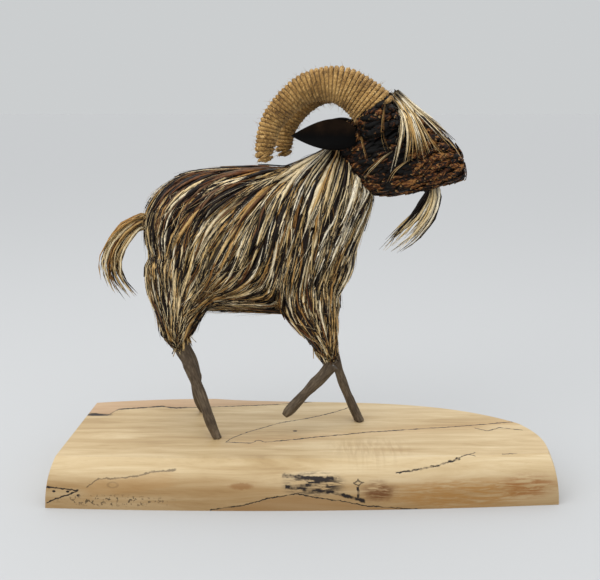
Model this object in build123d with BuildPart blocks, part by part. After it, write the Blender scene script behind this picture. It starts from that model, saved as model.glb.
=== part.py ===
"""Feathered billy goat walking on a slab of spalted maple: whittled stick legs, carved cores that carry a
coat of hackle feathers, a pair of horns wound with jute twine, leather ears, a beard and a tail.

Millimetres. +X is the way the goat walks, +Y is its left side and +Z is up. The origin is the middle of the
slab's underside. The right side, towards -Y, carries the raised fore leg.
"""

import os
from math import cos, radians, sin

from build123d import *

# ---------------------------------------------------------------- slab
SLAB_LENGTH = 334.0
SLAB_DEPTH = 138.0
SLAB_THICKNESS = 29.0
SLAB_FRONT_ROUNDING = 16.0  # how far the live front edge falls back between the underside and the top
SLAB_LEAN = 4.0  # how far the other sides lean in over the same height

# ---------------------------------------------------------------- fits and fastenings
GLUE_GAP = 0.1  # room for glue all round every rod and pin
PIN_RADIUS = 1.2
FOOT_PIN_IN_SLAB = 16.0
FOOT_PIN_IN_LEG = 14.0
KNEE_PIN_LENGTH = 9.0
DOWEL_RADIUS = 4.0
DOWEL_DOWN = 34.0  # from the middle of the neck into the torso
DOWEL_UP = 42.0  # from the middle of the neck into the head
WIRE_RADIUS = 1.0
WIRE_IN_HORN = 22.0
WIRE_IN_HEAD = 14.0

# ---------------------------------------------------------------- goat: heights are above the slab's top
MIDDLE_Y = 10.0  # the goat walks a little to the left of the slab's middle
COAT = 5.0  # how thick the hackles lie over the cores
HEAD_COAT = 1.8
FORELOCK_THICKNESS = 2.4
FORELOCK_WIDTH = 21.0

TORSO_START_X = -108.0
TORSO_LENGTH = 141.0
TORSO_HEIGHT = 98.0
TORSO_WIDTH = 64.0
TORSO_MIDDLE = 132.0

NECK_WIDTH = 44.0
NECK_DEPTH = 63.0

HEAD_BEFORE_TORSO = 1.0  # how far the poll stands before the chest
POLL_OVER_BACK = 11.0  # how far the poll stands over the highest part of the torso
HEAD_TURN = 9.0  # the head looks a little to the right, in degrees
HEAD_LENGTH = 73.0
HEAD_HEIGHT = 58.0
HEAD_WIDTH = 39.0

TWINE = 3.0  # the diameter of the jute twine round the horns
HORN_SPREAD = 13.6  # from the head's middle to the middle of a horn
LEFT_HORN_SCALE = 0.92  # the left horn came out smaller than the right one

EAR_LENGTH = 42.0
EAR_WIDTH = 20.0
EAR_ROOT_WIDTH = 10.0
EAR_THICKNESS = 1.4
EAR_CUP_RADIUS = 15.0
EAR_FROM_POLL = 1.0
EAR_FLARE = 11.0  # how far the tip stands out past the root

BEARD_WIDTH = 13.0
TAIL_WIDTH = 14.0

SLAB_TOP = SLAB_THICKNESS
POLL_HEIGHT = TORSO_MIDDLE + TORSO_HEIGHT / 2 + POLL_OVER_BACK
CHEST_X = TORSO_START_X + TORSO_LENGTH

os.makedirs("parts", exist_ok=True)


# ---------------------------------------------------------------- helpers
def write(piece, name):
    """Exports a finished piece under its own name."""
    piece.label = name
    export_step(piece, f"parts/{name}.step")


def tangents(points):
    """The unit direction of a path at each of its points."""
    points = [Vector(*p) for p in points]
    steps = [(b - a).normalized() for a, b in zip(points, points[1:])]
    inner = [(a + b).normalized() for a, b in zip(steps, steps[1:])]
    return [steps[0], *inner, steps[-1]]


def across(point, direction):
    """The plane square to a direction, with its first axis as level as it can be."""
    direction = Vector(*direction).normalized()
    side = Vector(0, 1, 0)
    side = (side - direction * side.dot(direction)).normalized()
    return Plane(origin=point, x_dir=side, z_dir=direction)


def lofted(planes, radii, grow=0.0):
    """A closed form through one oval on each plane. Radii are pairs, along each plane's own two axes."""
    with BuildPart() as form:
        for plane, (wide, deep) in zip(planes, radii):
            with BuildSketch(plane):
                Ellipse(wide + grow, deep + grow)
        loft()
    return form.part


def rod(points, radii, grow=0.0):
    """A tapered rod along a path."""
    planes = [across(point, direction) for point, direction in zip(points, tangents(points))]
    return lofted(planes, radii, grow)


def pin(start, end, radius):
    """A round pin from one point to another."""
    run = Vector(*end) - Vector(*start)
    with BuildPart() as shaft:
        with BuildSketch(across(start, run)):
            Circle(radius)
        extrude(amount=run.length)
    return shaft.part


def beyond(point, direction, distance):
    """The point that lies this far from another, along a direction."""
    return tuple(Vector(*point) + Vector(*direction).normalized() * distance)


def largest(shape):
    """The biggest solid of a shape, without the crumbs that a cut can leave."""
    with BuildPart() as kept:
        add(shape.solids().sort_by(SortBy.VOLUME)[-1])
    return kept.part


def cut(body, *tools):
    """A body less the tools."""
    with BuildPart() as rest:
        add(body)
        for tool in tools:
            add(tool, mode=Mode.SUBTRACT)
    return largest(rest)


def common(body, tool):
    """What two bodies share."""
    with BuildPart() as shared:
        add(body)
        add(tool, mode=Mode.INTERSECT)
    return largest(shared)


def half(body, plane, keep):
    """The part of a body on one side of a plane."""
    with BuildPart() as side:
        add(body)
        split(bisect_by=plane, keep=keep)
    return largest(side)


# ---------------------------------------------------------------- slab
def slab_outline(height, set_back, inset):
    """One level of the slab: a sawn left end, a live front edge and a back that falls away to the right."""
    right = SLAB_LENGTH / 2 - inset
    left = -right
    front = -SLAB_DEPTH / 2 + set_back
    back = SLAB_DEPTH / 2 - inset
    with BuildSketch(Plane.XY.offset(height)) as outline:
        with BuildLine():
            Spline((left, front + 4), (0, front), (right - 3, front + 9))
            Spline((right - 3, front + 9), (right - 1.5, -14), (right - 10, 11))
            Spline(
                (right - 10, 11),
                (0.62 * right, 0.68 * back),
                (0.12 * right, 0.88 * back),
                (0.42 * left, back),
            )
            Spline((0.42 * left, back), (0.72 * left, 0.96 * back), (left + 4, 0.86 * back))
            Line((left + 4, 0.86 * back), (left, front + 4))
        make_face()
    return outline.sketch


def build_slab(pins):
    levels = [
        slab_outline(0, 0, 0),
        slab_outline(0.42 * SLAB_THICKNESS, 0.06 * SLAB_FRONT_ROUNDING, 0.2 * SLAB_LEAN),
        slab_outline(0.78 * SLAB_THICKNESS, 0.4 * SLAB_FRONT_ROUNDING, 0.6 * SLAB_LEAN),
        slab_outline(SLAB_TOP, SLAB_FRONT_ROUNDING, SLAB_LEAN),
    ]
    with BuildPart() as slab:
        for level in levels:
            add(level)
        loft()
        for top, bottom in pins:
            add(pin(top, bottom, PIN_RADIUS + GLUE_GAP), mode=Mode.SUBTRACT)
    return slab.part


# ---------------------------------------------------------------- standing legs
def hind_path(foot, hock, hip_y):
    """From the hip inside the torso, down to the hock and to the foot on the slab."""
    foot_x, foot_y = foot
    hock_x, hock_y = hock
    hip_z = SLAB_TOP + TORSO_MIDDLE - 21
    hock_z = SLAB_TOP + 64

    def shank(lean_x, share):
        """A point of the shank, this share of the way from the slab up to the hock."""
        return (hock_x + lean_x, hock_y + (foot_y - hock_y) * (1 - share), SLAB_TOP + 64 * share)

    return [
        (hock_x + 8, hip_y, hip_z),
        (hock_x - 1, (hip_y + hock_y) / 2, (hip_z + hock_z) / 2),
        (hock_x, hock_y, hock_z),
        shank(4.5, 0.82),
        shank(11.5, 0.52),
        shank(foot_x - hock_x - 5, 0.2),
        (foot_x, foot_y, SLAB_TOP),
    ]


HIND_RADII = [(3.4, 3.4), (3.8, 3.8), (4.6, 5.6), (4.2, 4.7), (3.7, 3.8), (3.4, 3.4), (3.0, 3.0)]
FORE_RADII = [(3.2, 3.2), (3.3, 3.3), (3.4, 3.4), (3.3, 3.2), (3.2, 3.1), (3.5, 3.5)]
HIND_RIGHT_PATH = hind_path((-60.5, -17), (-84, -11), MIDDLE_Y - 14)
HIND_LEFT_PATH = hind_path((-74.5, 36), (-92, 31), MIDDLE_Y + 14)
FORE_LEFT_PATH = [
    (CHEST_X - 19, MIDDLE_Y + 14, SLAB_TOP + TORSO_MIDDLE - 31),
    (CHEST_X - 16, MIDDLE_Y + 13.5, SLAB_TOP + 71),
    (CHEST_X - 12, MIDDLE_Y + 12, SLAB_TOP + 49),
    (CHEST_X - 6.5, MIDDLE_Y + 10, SLAB_TOP + 30),
    (CHEST_X + 0.5, MIDDLE_Y + 8, SLAB_TOP + 13),
    (CHEST_X + 6.5, MIDDLE_Y + 6, SLAB_TOP),
]


def standing_leg(path, radii, grow=0.0):
    """A stick whose sole is cut level with the slab's top."""
    sole = Vector(*path[-1])
    below = beyond(sole, sole - Vector(*path[-2]), 8)
    whole = rod([*path[:-1], below], radii, grow)
    return half(whole, Plane.XY.offset(SLAB_TOP), Keep.TOP)


def foot_pin_ends(path):
    """The pin through a sole, in line with the leg's last stretch: its top and its bottom."""
    sole = Vector(*path[-1])
    down = sole - Vector(*path[-2])
    return beyond(sole, down, -FOOT_PIN_IN_LEG), beyond(sole, down, FOOT_PIN_IN_SLAB)


# ---------------------------------------------------------------- raised leg
KNEE = (CHEST_X - 15, MIDDLE_Y - 21, SLAB_TOP + 49.5)
UPPER_PATH = [
    (CHEST_X - 35, MIDDLE_Y - 15, SLAB_TOP + TORSO_MIDDLE - 31),
    (CHEST_X - 28, MIDDLE_Y - 18, SLAB_TOP + 77),
    KNEE,
]
UPPER_RADII = [(3.2, 3.2), (3.8, 3.8), (4.4, 5.0)]
SHANK_PATH = [
    KNEE,
    (KNEE[0] - 5.5, KNEE[1], KNEE[2] - 6.5),
    (KNEE[0] - 13.5, KNEE[1], KNEE[2] - 15),
    (KNEE[0] - 22, KNEE[1] - 0.5, KNEE[2] - 24),
    (KNEE[0] - 29, KNEE[1] - 1, KNEE[2] - 31.5),
    (KNEE[0] - 32, KNEE[1] - 1, KNEE[2] - 35),
]
SHANK_RADII = [(4.4, 5.0), (4.0, 4.4), (3.5, 3.5), (3.4, 3.4), (3.6, 3.6), (2.2, 2.2)]
DOWN_TO_KNEE = tangents(UPPER_PATH)[-1]
AWAY_FROM_KNEE = tangents(SHANK_PATH)[0]
MITRE = across(KNEE, DOWN_TO_KNEE + AWAY_FROM_KNEE)


def raised_stick(path, radii, grow=0.0, past_start=0.0, past_end=0.0):
    """A stick of the raised leg, longer at the knee so that the mitre can cut it."""
    start = beyond(path[0], tangents(path)[0], -past_start)
    end = beyond(path[-1], tangents(path)[-1], past_end)
    return rod([start, *path[1:-1], end], radii, grow)


# ---------------------------------------------------------------- torso, neck and limb forms
# (share of the length, rise over the middle, share of the height, share of the width)
TORSO_SECTIONS = [
    (0.0, 11, 0.16, 0.25),
    (0.05, 6, 0.56, 0.58),
    (0.2, 1, 0.92, 0.9),
    (0.45, 1.5, 1.01, 1.03),
    (0.7, -2, 1.03, 0.99),
    (0.87, -10, 0.79, 0.8),
    (1.0, -17, 0.2, 0.28),
]


def torso_form(sections, grow=0.0):
    planes = []
    radii = []
    for along, rise, height, width in sections:
        x = TORSO_START_X + along * TORSO_LENGTH
        planes.append(across((x, MIDDLE_Y, SLAB_TOP + TORSO_MIDDLE + rise), (1, 0, 0)))
        radii.append((width * TORSO_WIDTH / 2, height * TORSO_HEIGHT / 2))
    return lofted(planes, radii, grow)


# (distance behind the chest, height, slope in degrees, share of the depth, share of the width)
NECK_SECTIONS = [
    (26, 149, 42, 1.27, 1.2),
    (15, 164, 43, 1.0, 1.0),
    (6, 174.5, 41.5, 0.83, 0.84),
    (0, 185, 36, 0.7, 0.74),
]


def neck_form(grow=0.0):
    planes = []
    radii = []
    for behind, height, slope, depth, width in NECK_SECTIONS:
        direction = (cos(radians(slope)), 0, sin(radians(slope)))
        planes.append(across((CHEST_X - behind, MIDDLE_Y, SLAB_TOP + height), direction))
        radii.append((width * NECK_WIDTH / 2, depth * NECK_DEPTH / 2))
    return lofted(planes, radii, grow)


def limb_form(sections, from_x, side, grow=0.0):
    """The upper part of a leg through level ovals: (height, x, half length, y, half width)."""
    planes = []
    radii = []
    for height, x, long, y, wide in sections:
        planes.append(Plane((from_x + x, MIDDLE_Y + side * y, SLAB_TOP + height)))
        radii.append((long, wide))
    return lofted(planes, radii, grow)


THIGH_SECTIONS = [
    (121, 28, 26, 14, 16),
    (96, 24, 21, 17, 14),
    (79, 20, 14.5, 19.5, 11.5),
    (67, 19, 11.5, 21, 9.5),
    (58, 19.5, 8, 21.5, 7.5),
]
FOREARM_RIGHT_SECTIONS = [
    (101, -31, 17, 17, 13),
    (82.4, -28.8, 15.8, 19.5, 11.5),
    (75.4, -25.2, 12.6, 20.5, 10),
    (65.2, -21.1, 9.3, 21, 8.3),
    (55.8, -16.8, 6.8, 21, 6.6),
]
FOREARM_LEFT_SECTIONS = [
    (101, -19, 16, 14, 12),
    (82, -17, 13, 13.5, 10.5),
    (66, -14.5, 9.5, 13, 8.5),
    (52, -12, 7, 12.5, 6.8),
    (43, -10.5, 5.8, 11.5, 5.6),
]
LIMB_COAT = 2.6


# ---------------------------------------------------------------- head
def at_head(along, side, rise):
    """A point given from the poll: along the head, to its left and up."""
    turn = radians(HEAD_TURN)
    x = CHEST_X + HEAD_BEFORE_TORSO + along * cos(turn) + side * sin(turn)
    y = MIDDLE_Y - along * sin(turn) + side * cos(turn)
    return (x, y, SLAB_TOP + POLL_HEIGHT + rise)


HEAD_FORWARD = Vector(*at_head(1, 0, 0)) - Vector(*at_head(0, 0, 0))
HEAD_LEFT = Vector(*at_head(0, 1, 0)) - Vector(*at_head(0, 0, 0))

# (share of the length, rise over the poll, share of the height, share of the width)
HEAD_SECTIONS = [
    (-0.15, 0, 0.38, 0.5),
    (0.0, 1, 0.76, 0.87),
    (0.2, 1, 0.96, 1.03),
    (0.4, 2, 1.0, 0.97),
    (0.62, 0, 0.83, 0.77),
    (0.85, -5, 0.5, 0.55),
    (1.0, -10, 0.22, 0.32),
]


def head_form(sections, grow=0.0):
    planes = []
    radii = []
    for along, rise, height, width in sections:
        place = at_head(along * HEAD_LENGTH, 0, rise)
        planes.append(Plane(origin=place, x_dir=HEAD_LEFT, z_dir=HEAD_FORWARD))
        radii.append((width * HEAD_WIDTH / 2, height * HEAD_HEIGHT / 2))
    return lofted(planes, radii, grow)


# ---------------------------------------------------------------- horns
# (along the head, flare, rise over the poll, half width, half depth): from inside the head, over and down
HORN_STATIONS = [
    (18, 0, 15, 12.6, 14.6),
    (10.5, 0, 31, 12.6, 14.6),
    (-10.5, 0.5, 44.5, 11.4, 12.1),
    (-34, 2, 41, 9.6, 9.7),
    (-53, 4, 22, 7.9, 7.9),
    (-58.5, 6, 2, 6.3, 6.3),
    (-57, 6.5, -4, 5.4, 5.4),
]


def horn_path(side, scale):
    """The middle of a horn, and its radii. The foot stays where it is, whatever the scale."""
    foot_along, _, foot_rise = HORN_STATIONS[0][:3]
    points = []
    radii = []
    for along, flare, rise, wide, deep in HORN_STATIONS:
        place = at_head(foot_along + (along - foot_along) * scale, side * (HORN_SPREAD + flare),
                        foot_rise + (rise - foot_rise) * scale)
        points.append(place)
        radii.append((wide * scale, deep * scale))
    return points, radii


def horn_wire_ends(side, scale):
    """The wire that holds a horn to the head: its lower and its upper end."""
    points, _ = horn_path(side, scale)
    up = Vector(*points[1]) - Vector(*points[0])
    middle = beyond(points[0], up, 9)
    return beyond(middle, up, -WIRE_IN_HEAD), beyond(middle, up, WIRE_IN_HORN)


# ---------------------------------------------------------------- ears
def build_ear(side):
    """A leaf of leather, cupped about its own length, that points back from under the horn."""
    root_side = HEAD_WIDTH / 2 - 3
    root = at_head(EAR_FROM_POLL, side * root_side, 12)
    tip = at_head(EAR_FROM_POLL - EAR_LENGTH, side * (root_side + EAR_FLARE), 12.5)
    back = (Vector(*tip) - Vector(*root)).normalized()
    outward = HEAD_LEFT * side + Vector(0, 0, 0.25)
    outward = (outward - back * outward.dot(back)).normalized()
    face = Plane(origin=root, x_dir=back, z_dir=outward)
    end = Plane(origin=root, x_dir=outward, z_dir=back)
    with BuildPart() as ear:
        with BuildSketch(face):
            with BuildLine():
                Line((0, -EAR_ROOT_WIDTH / 2), (0, EAR_ROOT_WIDTH / 2))
                Spline(
                    (0, EAR_ROOT_WIDTH / 2),
                    (0.3 * EAR_LENGTH, EAR_WIDTH / 2),
                    (0.66 * EAR_LENGTH, 0.36 * EAR_WIDTH),
                    (EAR_LENGTH, 0),
                )
                Spline(
                    (EAR_LENGTH, 0),
                    (0.66 * EAR_LENGTH, -0.36 * EAR_WIDTH),
                    (0.3 * EAR_LENGTH, -EAR_WIDTH / 2),
                    (0, -EAR_ROOT_WIDTH / 2),
                )
            make_face()
        extrude(amount=EAR_CUP_RADIUS, both=True)
        with BuildSketch(end):
            with Locations((EAR_CUP_RADIUS, 0)):
                Circle(EAR_CUP_RADIUS)
                Circle(EAR_CUP_RADIUS - EAR_THICKNESS, mode=Mode.SUBTRACT)
            with Locations((EAR_CUP_RADIUS * 1.5, 0)):
                Rectangle(EAR_CUP_RADIUS, 3 * EAR_CUP_RADIUS, mode=Mode.SUBTRACT)
        extrude(amount=EAR_LENGTH, mode=Mode.INTERSECT)
    return ear.part


# ---------------------------------------------------------------- beard and tail
# (along the head, rise over the poll, share of the width, half depth)
BEARD_STATIONS = [
    (50, -20, 0.5, 4.5),
    (52.5, -31, 0.95, 5.2),
    (49.5, -43, 1.0, 6.4),
    (41, -54, 0.9, 6.6),
    (31, -62, 0.6, 4.6),
    (22.5, -67.5, 0.15, 1.0),
]
# (behind the torso's start, rise over the torso's middle, share of the width, half depth)
TAIL_STATIONS = [
    (-6, 18, 0.5, 4.5),
    (4, 15, 0.7, 5.6),
    (14, 10, 0.9, 6.4),
    (23, 0, 1.0, 6.9),
    (27, -11, 0.95, 6.8),
    (27.5, -22, 0.7, 5.2),
    (24.5, -33, 0.2, 1.4),
]


def build_beard():
    points = [at_head(along, 0, rise) for along, rise, _, _ in BEARD_STATIONS]
    return rod(points, [(share * BEARD_WIDTH / 2, deep) for _, _, share, deep in BEARD_STATIONS])


def build_tail():
    middle_z = SLAB_TOP + TORSO_MIDDLE
    points = [(TORSO_START_X - behind, MIDDLE_Y, middle_z + rise) for behind, rise, _, _ in TAIL_STATIONS]
    return rod(points, [(share * TAIL_WIDTH / 2, deep) for _, _, share, deep in TAIL_STATIONS])


# ================================================================ the pieces
# sticks, and the room that each needs in what it passes through
standing = {
    "hind_leg_right": (HIND_RIGHT_PATH, HIND_RADII),
    "hind_leg_left": (HIND_LEFT_PATH, HIND_RADII),
    "fore_leg_left": (FORE_LEFT_PATH, FORE_RADII),
}
foot_pins = [foot_pin_ends(path) for path, _ in standing.values()]
foot_bores = [pin(top, bottom, PIN_RADIUS + GLUE_GAP) for top, bottom in foot_pins]
leg_rooms = {name: standing_leg(path, radii, GLUE_GAP) for name, (path, radii) in standing.items()}
for (name, (path, radii)), bore in zip(standing.items(), foot_bores):
    write(cut(standing_leg(path, radii), bore), name)

pin_across = Vector(*MITRE.z_dir)
knee_pin_top = beyond(KNEE, pin_across, -KNEE_PIN_LENGTH / 2)
knee_pin_ends = knee_pin_top, beyond(KNEE, pin_across, KNEE_PIN_LENGTH / 2)
knee_bore = pin(*knee_pin_ends, PIN_RADIUS + GLUE_GAP)
upper_room = raised_stick(UPPER_PATH, UPPER_RADII, GLUE_GAP, past_end=4)
shank_room = raised_stick(SHANK_PATH, SHANK_RADII, GLUE_GAP, past_start=4)
upper_whole = raised_stick(UPPER_PATH, UPPER_RADII, past_end=4)
shank_whole = raised_stick(SHANK_PATH, SHANK_RADII, past_start=4)
write(cut(half(upper_whole, MITRE, Keep.BOTTOM), knee_bore), "raised_upper_stick")
write(cut(half(shank_whole, MITRE, Keep.TOP), knee_bore), "raised_shank")
write(pin(*knee_pin_ends, PIN_RADIUS), "knee_pin")

with BuildPart() as pins:
    for top, bottom in foot_pins:
        add(pin(top, bottom, PIN_RADIUS))
write(pins.part, "foot_pins")
write(build_slab(foot_pins), "base_slab")

# the neck's dowel and the horns' wires
neck_middle = (CHEST_X - 13, MIDDLE_Y, SLAB_TOP + 167)
neck_rise = Vector(0.66, 0, 0.75)
dowel_ends = beyond(neck_middle, neck_rise, -DOWEL_DOWN), beyond(neck_middle, neck_rise, DOWEL_UP)
dowel_bore = pin(*dowel_ends, DOWEL_RADIUS + GLUE_GAP)
write(pin(*dowel_ends, DOWEL_RADIUS), "neck_dowel")

HORNS = {"right": (-1, 1.0), "left": (1, LEFT_HORN_SCALE)}
wire_ends = [horn_wire_ends(*horn) for horn in HORNS.values()]
wire_bores = [pin(*ends, WIRE_RADIUS + GLUE_GAP) for ends in wire_ends]
with BuildPart() as wires:
    for ends in wire_ends:
        add(pin(*ends, WIRE_RADIUS))
write(wires.part, "horn_wires")

# the forms of the coat and of the cores under it
torso_outer = torso_form(TORSO_SECTIONS)
torso_inner = torso_form(TORSO_SECTIONS[1:-1], -COAT)
neck_outer = neck_form()
neck_inner = neck_form(-COAT)
head_outer = head_form(HEAD_SECTIONS)
head_inner = head_form(HEAD_SECTIONS[1:-1], -HEAD_COAT)
forelock_outer = head_form(HEAD_SECTIONS, FORELOCK_THICKNESS)

sticks = [*leg_rooms.values(), upper_room, shank_room]
write(cut(torso_inner, dowel_bore, *leg_rooms.values(), upper_room), "torso_core")
write(cut(neck_inner, torso_inner, head_inner, dowel_bore), "neck_core")
write(cut(head_inner, dowel_bore, *wire_bores), "head_core")

limbs = {
    "thigh_right": (THIGH_SECTIONS, TORSO_START_X, -1, leg_rooms["hind_leg_right"]),
    "thigh_left": (THIGH_SECTIONS, TORSO_START_X, 1, leg_rooms["hind_leg_left"]),
    "foreleg_right": (FOREARM_RIGHT_SECTIONS, CHEST_X, -1, upper_room),
    "foreleg_left": (FOREARM_LEFT_SECTIONS, CHEST_X, 1, leg_rooms["fore_leg_left"]),
}
limb_outers = {}
for name, (sections, from_x, side, stick) in limbs.items():
    outer = limb_form(sections, from_x, side)
    inner = limb_form(sections[:-1], from_x, side, -LIMB_COAT)
    limb_outers[name] = outer
    write(cut(inner, torso_inner, stick), f"{name}_core")
    write(cut(outer, torso_outer, neck_outer, inner, stick, shank_room), f"{name}_hackles")

# the torso's coat, in four stretches from the rump to the chest
SEAMS = [TORSO_START_X + share * TORSO_LENGTH for share in (0.31, 0.6, 0.8)]
limbs_under_coat = [limb_form(stations[:-1], x, k, -LIMB_COAT) for stations, x, k, _ in limbs.values()]
coat = cut(torso_outer, torso_inner, neck_inner, *limbs_under_coat, *sticks)
seam_planes = [Plane.YZ.offset(x) for x in SEAMS]
write(half(coat, seam_planes[0], Keep.BOTTOM), "rump_hackles")
write(half(half(coat, seam_planes[0], Keep.TOP), seam_planes[1], Keep.BOTTOM), "flank_hackles")
write(half(half(coat, seam_planes[1], Keep.TOP), seam_planes[2], Keep.BOTTOM), "shoulder_hackles")
write(half(coat, seam_planes[2], Keep.TOP), "chest_hackles")

# horns
horn_outers = []
for (name, (side, scale)), bore in zip(HORNS.items(), wire_bores):
    points, radii = horn_path(side, scale)
    outer = rod(points, radii)
    inner = rod(points, radii, -TWINE)
    horn_outers.append(outer)
    write(cut(inner, head_inner, bore), f"horn_core_{name}")
    write(cut(outer, inner, head_inner, neck_outer), f"horn_twine_{name}")
write(cut(neck_outer, torso_outer, neck_inner, head_outer, dowel_bore), "neck_hackles")

# ears, and the head's feathers round them
ears = {"right": build_ear(-1), "left": build_ear(1)}
for name, ear in ears.items():
    write(ear, f"ear_{name}")
beard = cut(build_beard(), head_outer)
write(beard, "beard")
write(cut(build_tail(), torso_outer), "tail")

head_coat = cut(head_outer, head_inner, neck_inner, dowel_bore, *horn_outers, *ears.values())
muzzle_plane = Plane(origin=at_head(0.66 * HEAD_LENGTH, 0, 0), x_dir=HEAD_LEFT, z_dir=HEAD_FORWARD)
crown_plane = Plane(origin=at_head(0, 0, 6))
behind_muzzle = half(head_coat, muzzle_plane, Keep.BOTTOM)
write(half(head_coat, muzzle_plane, Keep.TOP), "muzzle_feathers")
write(half(behind_muzzle, crown_plane, Keep.TOP), "crown_feathers")
write(half(behind_muzzle, crown_plane, Keep.BOTTOM), "cheek_feathers")

with BuildPart() as lock_room:
    with BuildSketch(Plane(origin=at_head(0, 0, 4), x_dir=HEAD_FORWARD, z_dir=(0, 0, 1))):
        with Locations((0.62 * HEAD_LENGTH, 0)):
            RectangleRounded(0.6 * HEAD_LENGTH, FORELOCK_WIDTH, 6)
    extrude(amount=HEAD_HEIGHT)
write(cut(common(forelock_outer, lock_room.part), head_outer, *horn_outers), "forelock")
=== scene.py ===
"""Looks of the feathered billy goat: a coat of hackles laid in courses over a down undercoat, horns wound
with twisted jute twine, leather ears, whittled legs and a slab of spalted maple. Forms are worked out in
millimetres, and become metres where a mesh is made."""
import math

import bpy
import numpy as np
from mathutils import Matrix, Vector
from mathutils.bvhtree import BVHTree


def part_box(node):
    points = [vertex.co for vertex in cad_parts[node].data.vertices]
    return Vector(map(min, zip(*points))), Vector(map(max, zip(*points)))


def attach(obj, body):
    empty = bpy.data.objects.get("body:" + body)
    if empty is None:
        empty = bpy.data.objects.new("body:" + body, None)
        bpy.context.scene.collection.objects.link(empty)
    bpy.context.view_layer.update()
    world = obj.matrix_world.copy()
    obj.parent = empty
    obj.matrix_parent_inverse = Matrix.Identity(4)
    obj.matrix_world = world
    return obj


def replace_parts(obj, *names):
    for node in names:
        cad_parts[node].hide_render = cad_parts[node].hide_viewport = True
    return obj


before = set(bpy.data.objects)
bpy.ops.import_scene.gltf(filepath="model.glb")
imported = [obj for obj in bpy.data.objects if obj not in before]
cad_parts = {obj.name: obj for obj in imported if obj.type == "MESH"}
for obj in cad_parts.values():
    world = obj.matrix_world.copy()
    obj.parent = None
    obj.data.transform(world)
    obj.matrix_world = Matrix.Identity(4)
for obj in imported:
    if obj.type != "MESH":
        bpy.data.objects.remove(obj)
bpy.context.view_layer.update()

MM = 0.001
MIDDLE_Y = 10.0  # the goat's own middle plane
SLAB_TOP = 29.0
LOW_COAT = 112.0  # below this height the hackles are short and close
LIMB_END = 106.0  # below this height a hackle may run off the end of a limb
UP = np.array([0.0, 0.0, 1.0])


# ---------------------------------------------------------------------------- camera and stage
def set_camera():
    camera = bpy.data.objects.new("camera", bpy.data.cameras.new("camera"))
    camera.location = (-0.0035, -0.601, 0.257)
    camera.rotation_euler = (math.radians(78), 0, 0)
    camera.data.lens = 54
    camera.data.sensor_width = 36
    bpy.context.scene.collection.objects.link(camera)
    bpy.context.scene.camera = camera


def deselect():
    bpy.ops.object.select_all(action="DESELECT")


def softbox(name, place, size, power, colour=(1, 1, 1)):
    """An area light that faces the goat."""
    light = bpy.data.lights.new(name, "AREA")
    light.shape = "RECTANGLE"
    light.size, light.size_y = size
    light.energy = power
    light.color = colour
    lamp = bpy.data.objects.new(name, light)
    lamp.location = place
    aim = Vector((0, 0, 0.14)) - Vector(place)
    lamp.rotation_euler = aim.to_track_quat("-Z", "Y").to_euler()
    bpy.context.scene.collection.objects.link(lamp)


def set_stage():
    deselect()
    bpy.ops.mesh.primitive_plane_add(size=30, location=(0, 0, 0))
    floor = bpy.context.object
    floor.name = "floor"
    paper = bpy.data.materials.new("pale_paper")
    paper.use_nodes = True
    shader = paper.node_tree.nodes["Principled BSDF"]
    shader.inputs["Base Color"].default_value = (0.50, 0.512, 0.522, 1)
    shader.inputs["Roughness"].default_value = 0.9
    floor.data.materials.append(paper)
    world = bpy.data.worlds.new("soft_room")
    world.use_nodes = True
    tree = world.node_tree
    parts = tree.nodes.new("ShaderNodeSeparateXYZ")
    tree.links.new(tree.nodes.new("ShaderNodeTexCoord").outputs["Generated"], parts.inputs[0])
    sky = tree.nodes.new("ShaderNodeValToRGB")
    sky.color_ramp.elements[0].position = 0.2
    sky.color_ramp.elements[0].color = (0.60, 0.617, 0.625, 1)
    sky.color_ramp.elements[1].position = 0.75
    sky.color_ramp.elements[1].color = (1.3, 1.3, 1.3, 1)
    tree.links.new(parts.outputs[2], sky.inputs[0])
    tree.links.new(sky.outputs[0], tree.nodes["Background"].inputs["Color"])
    bpy.context.scene.world = world
    softbox("overhead", (-0.15, -0.25, 1.1), (1.2, 1.0), 3.4)
    softbox("window", (-1.0, -0.9, 0.9), (0.8, 0.8), 4.0, (1.0, 0.97, 0.93))
    bpy.context.scene.view_settings.view_transform = "Standard"


set_camera()
set_stage()


# ---------------------------------------------------------------------------- small tools
def settle(piece):
    """Puts a piece's place and size into its mesh."""
    deselect()
    piece.select_set(True)
    bpy.context.view_layer.objects.active = piece
    bpy.ops.object.transform_apply(location=True, rotation=True, scale=True)


def apply_modifiers(piece):
    deselect()
    piece.select_set(True)
    bpy.context.view_layer.objects.active = piece
    for modifier in list(piece.modifiers):
        bpy.ops.object.modifier_apply(modifier=modifier.name)


def new_piece(name, points, faces, material, uvs):
    """A piece from points in millimetres. Each of uvs is a layer's name and two numbers per point."""
    mesh = bpy.data.meshes.new(name)
    mesh.from_pydata((np.asarray(points) * MM).tolist(), [], list(faces))
    corners = np.zeros(len(mesh.loops), dtype=np.int32)
    mesh.loops.foreach_get("vertex_index", corners)
    for layer_name, values in uvs:
        layer = mesh.uv_layers.new(name=layer_name)
        layer.data.foreach_set("uv", np.asarray(values)[corners].ravel())
    mesh.update()
    piece = bpy.data.objects.new(name, mesh)
    bpy.context.scene.collection.objects.link(piece)
    mesh.shade_smooth()
    mesh.materials.append(material)
    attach(piece, "root")
    return piece


def unit(v):
    """Vectors of length one, along the last axis."""
    return v / np.maximum(np.linalg.norm(v, axis=-1, keepdims=True), 1e-9)


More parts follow.
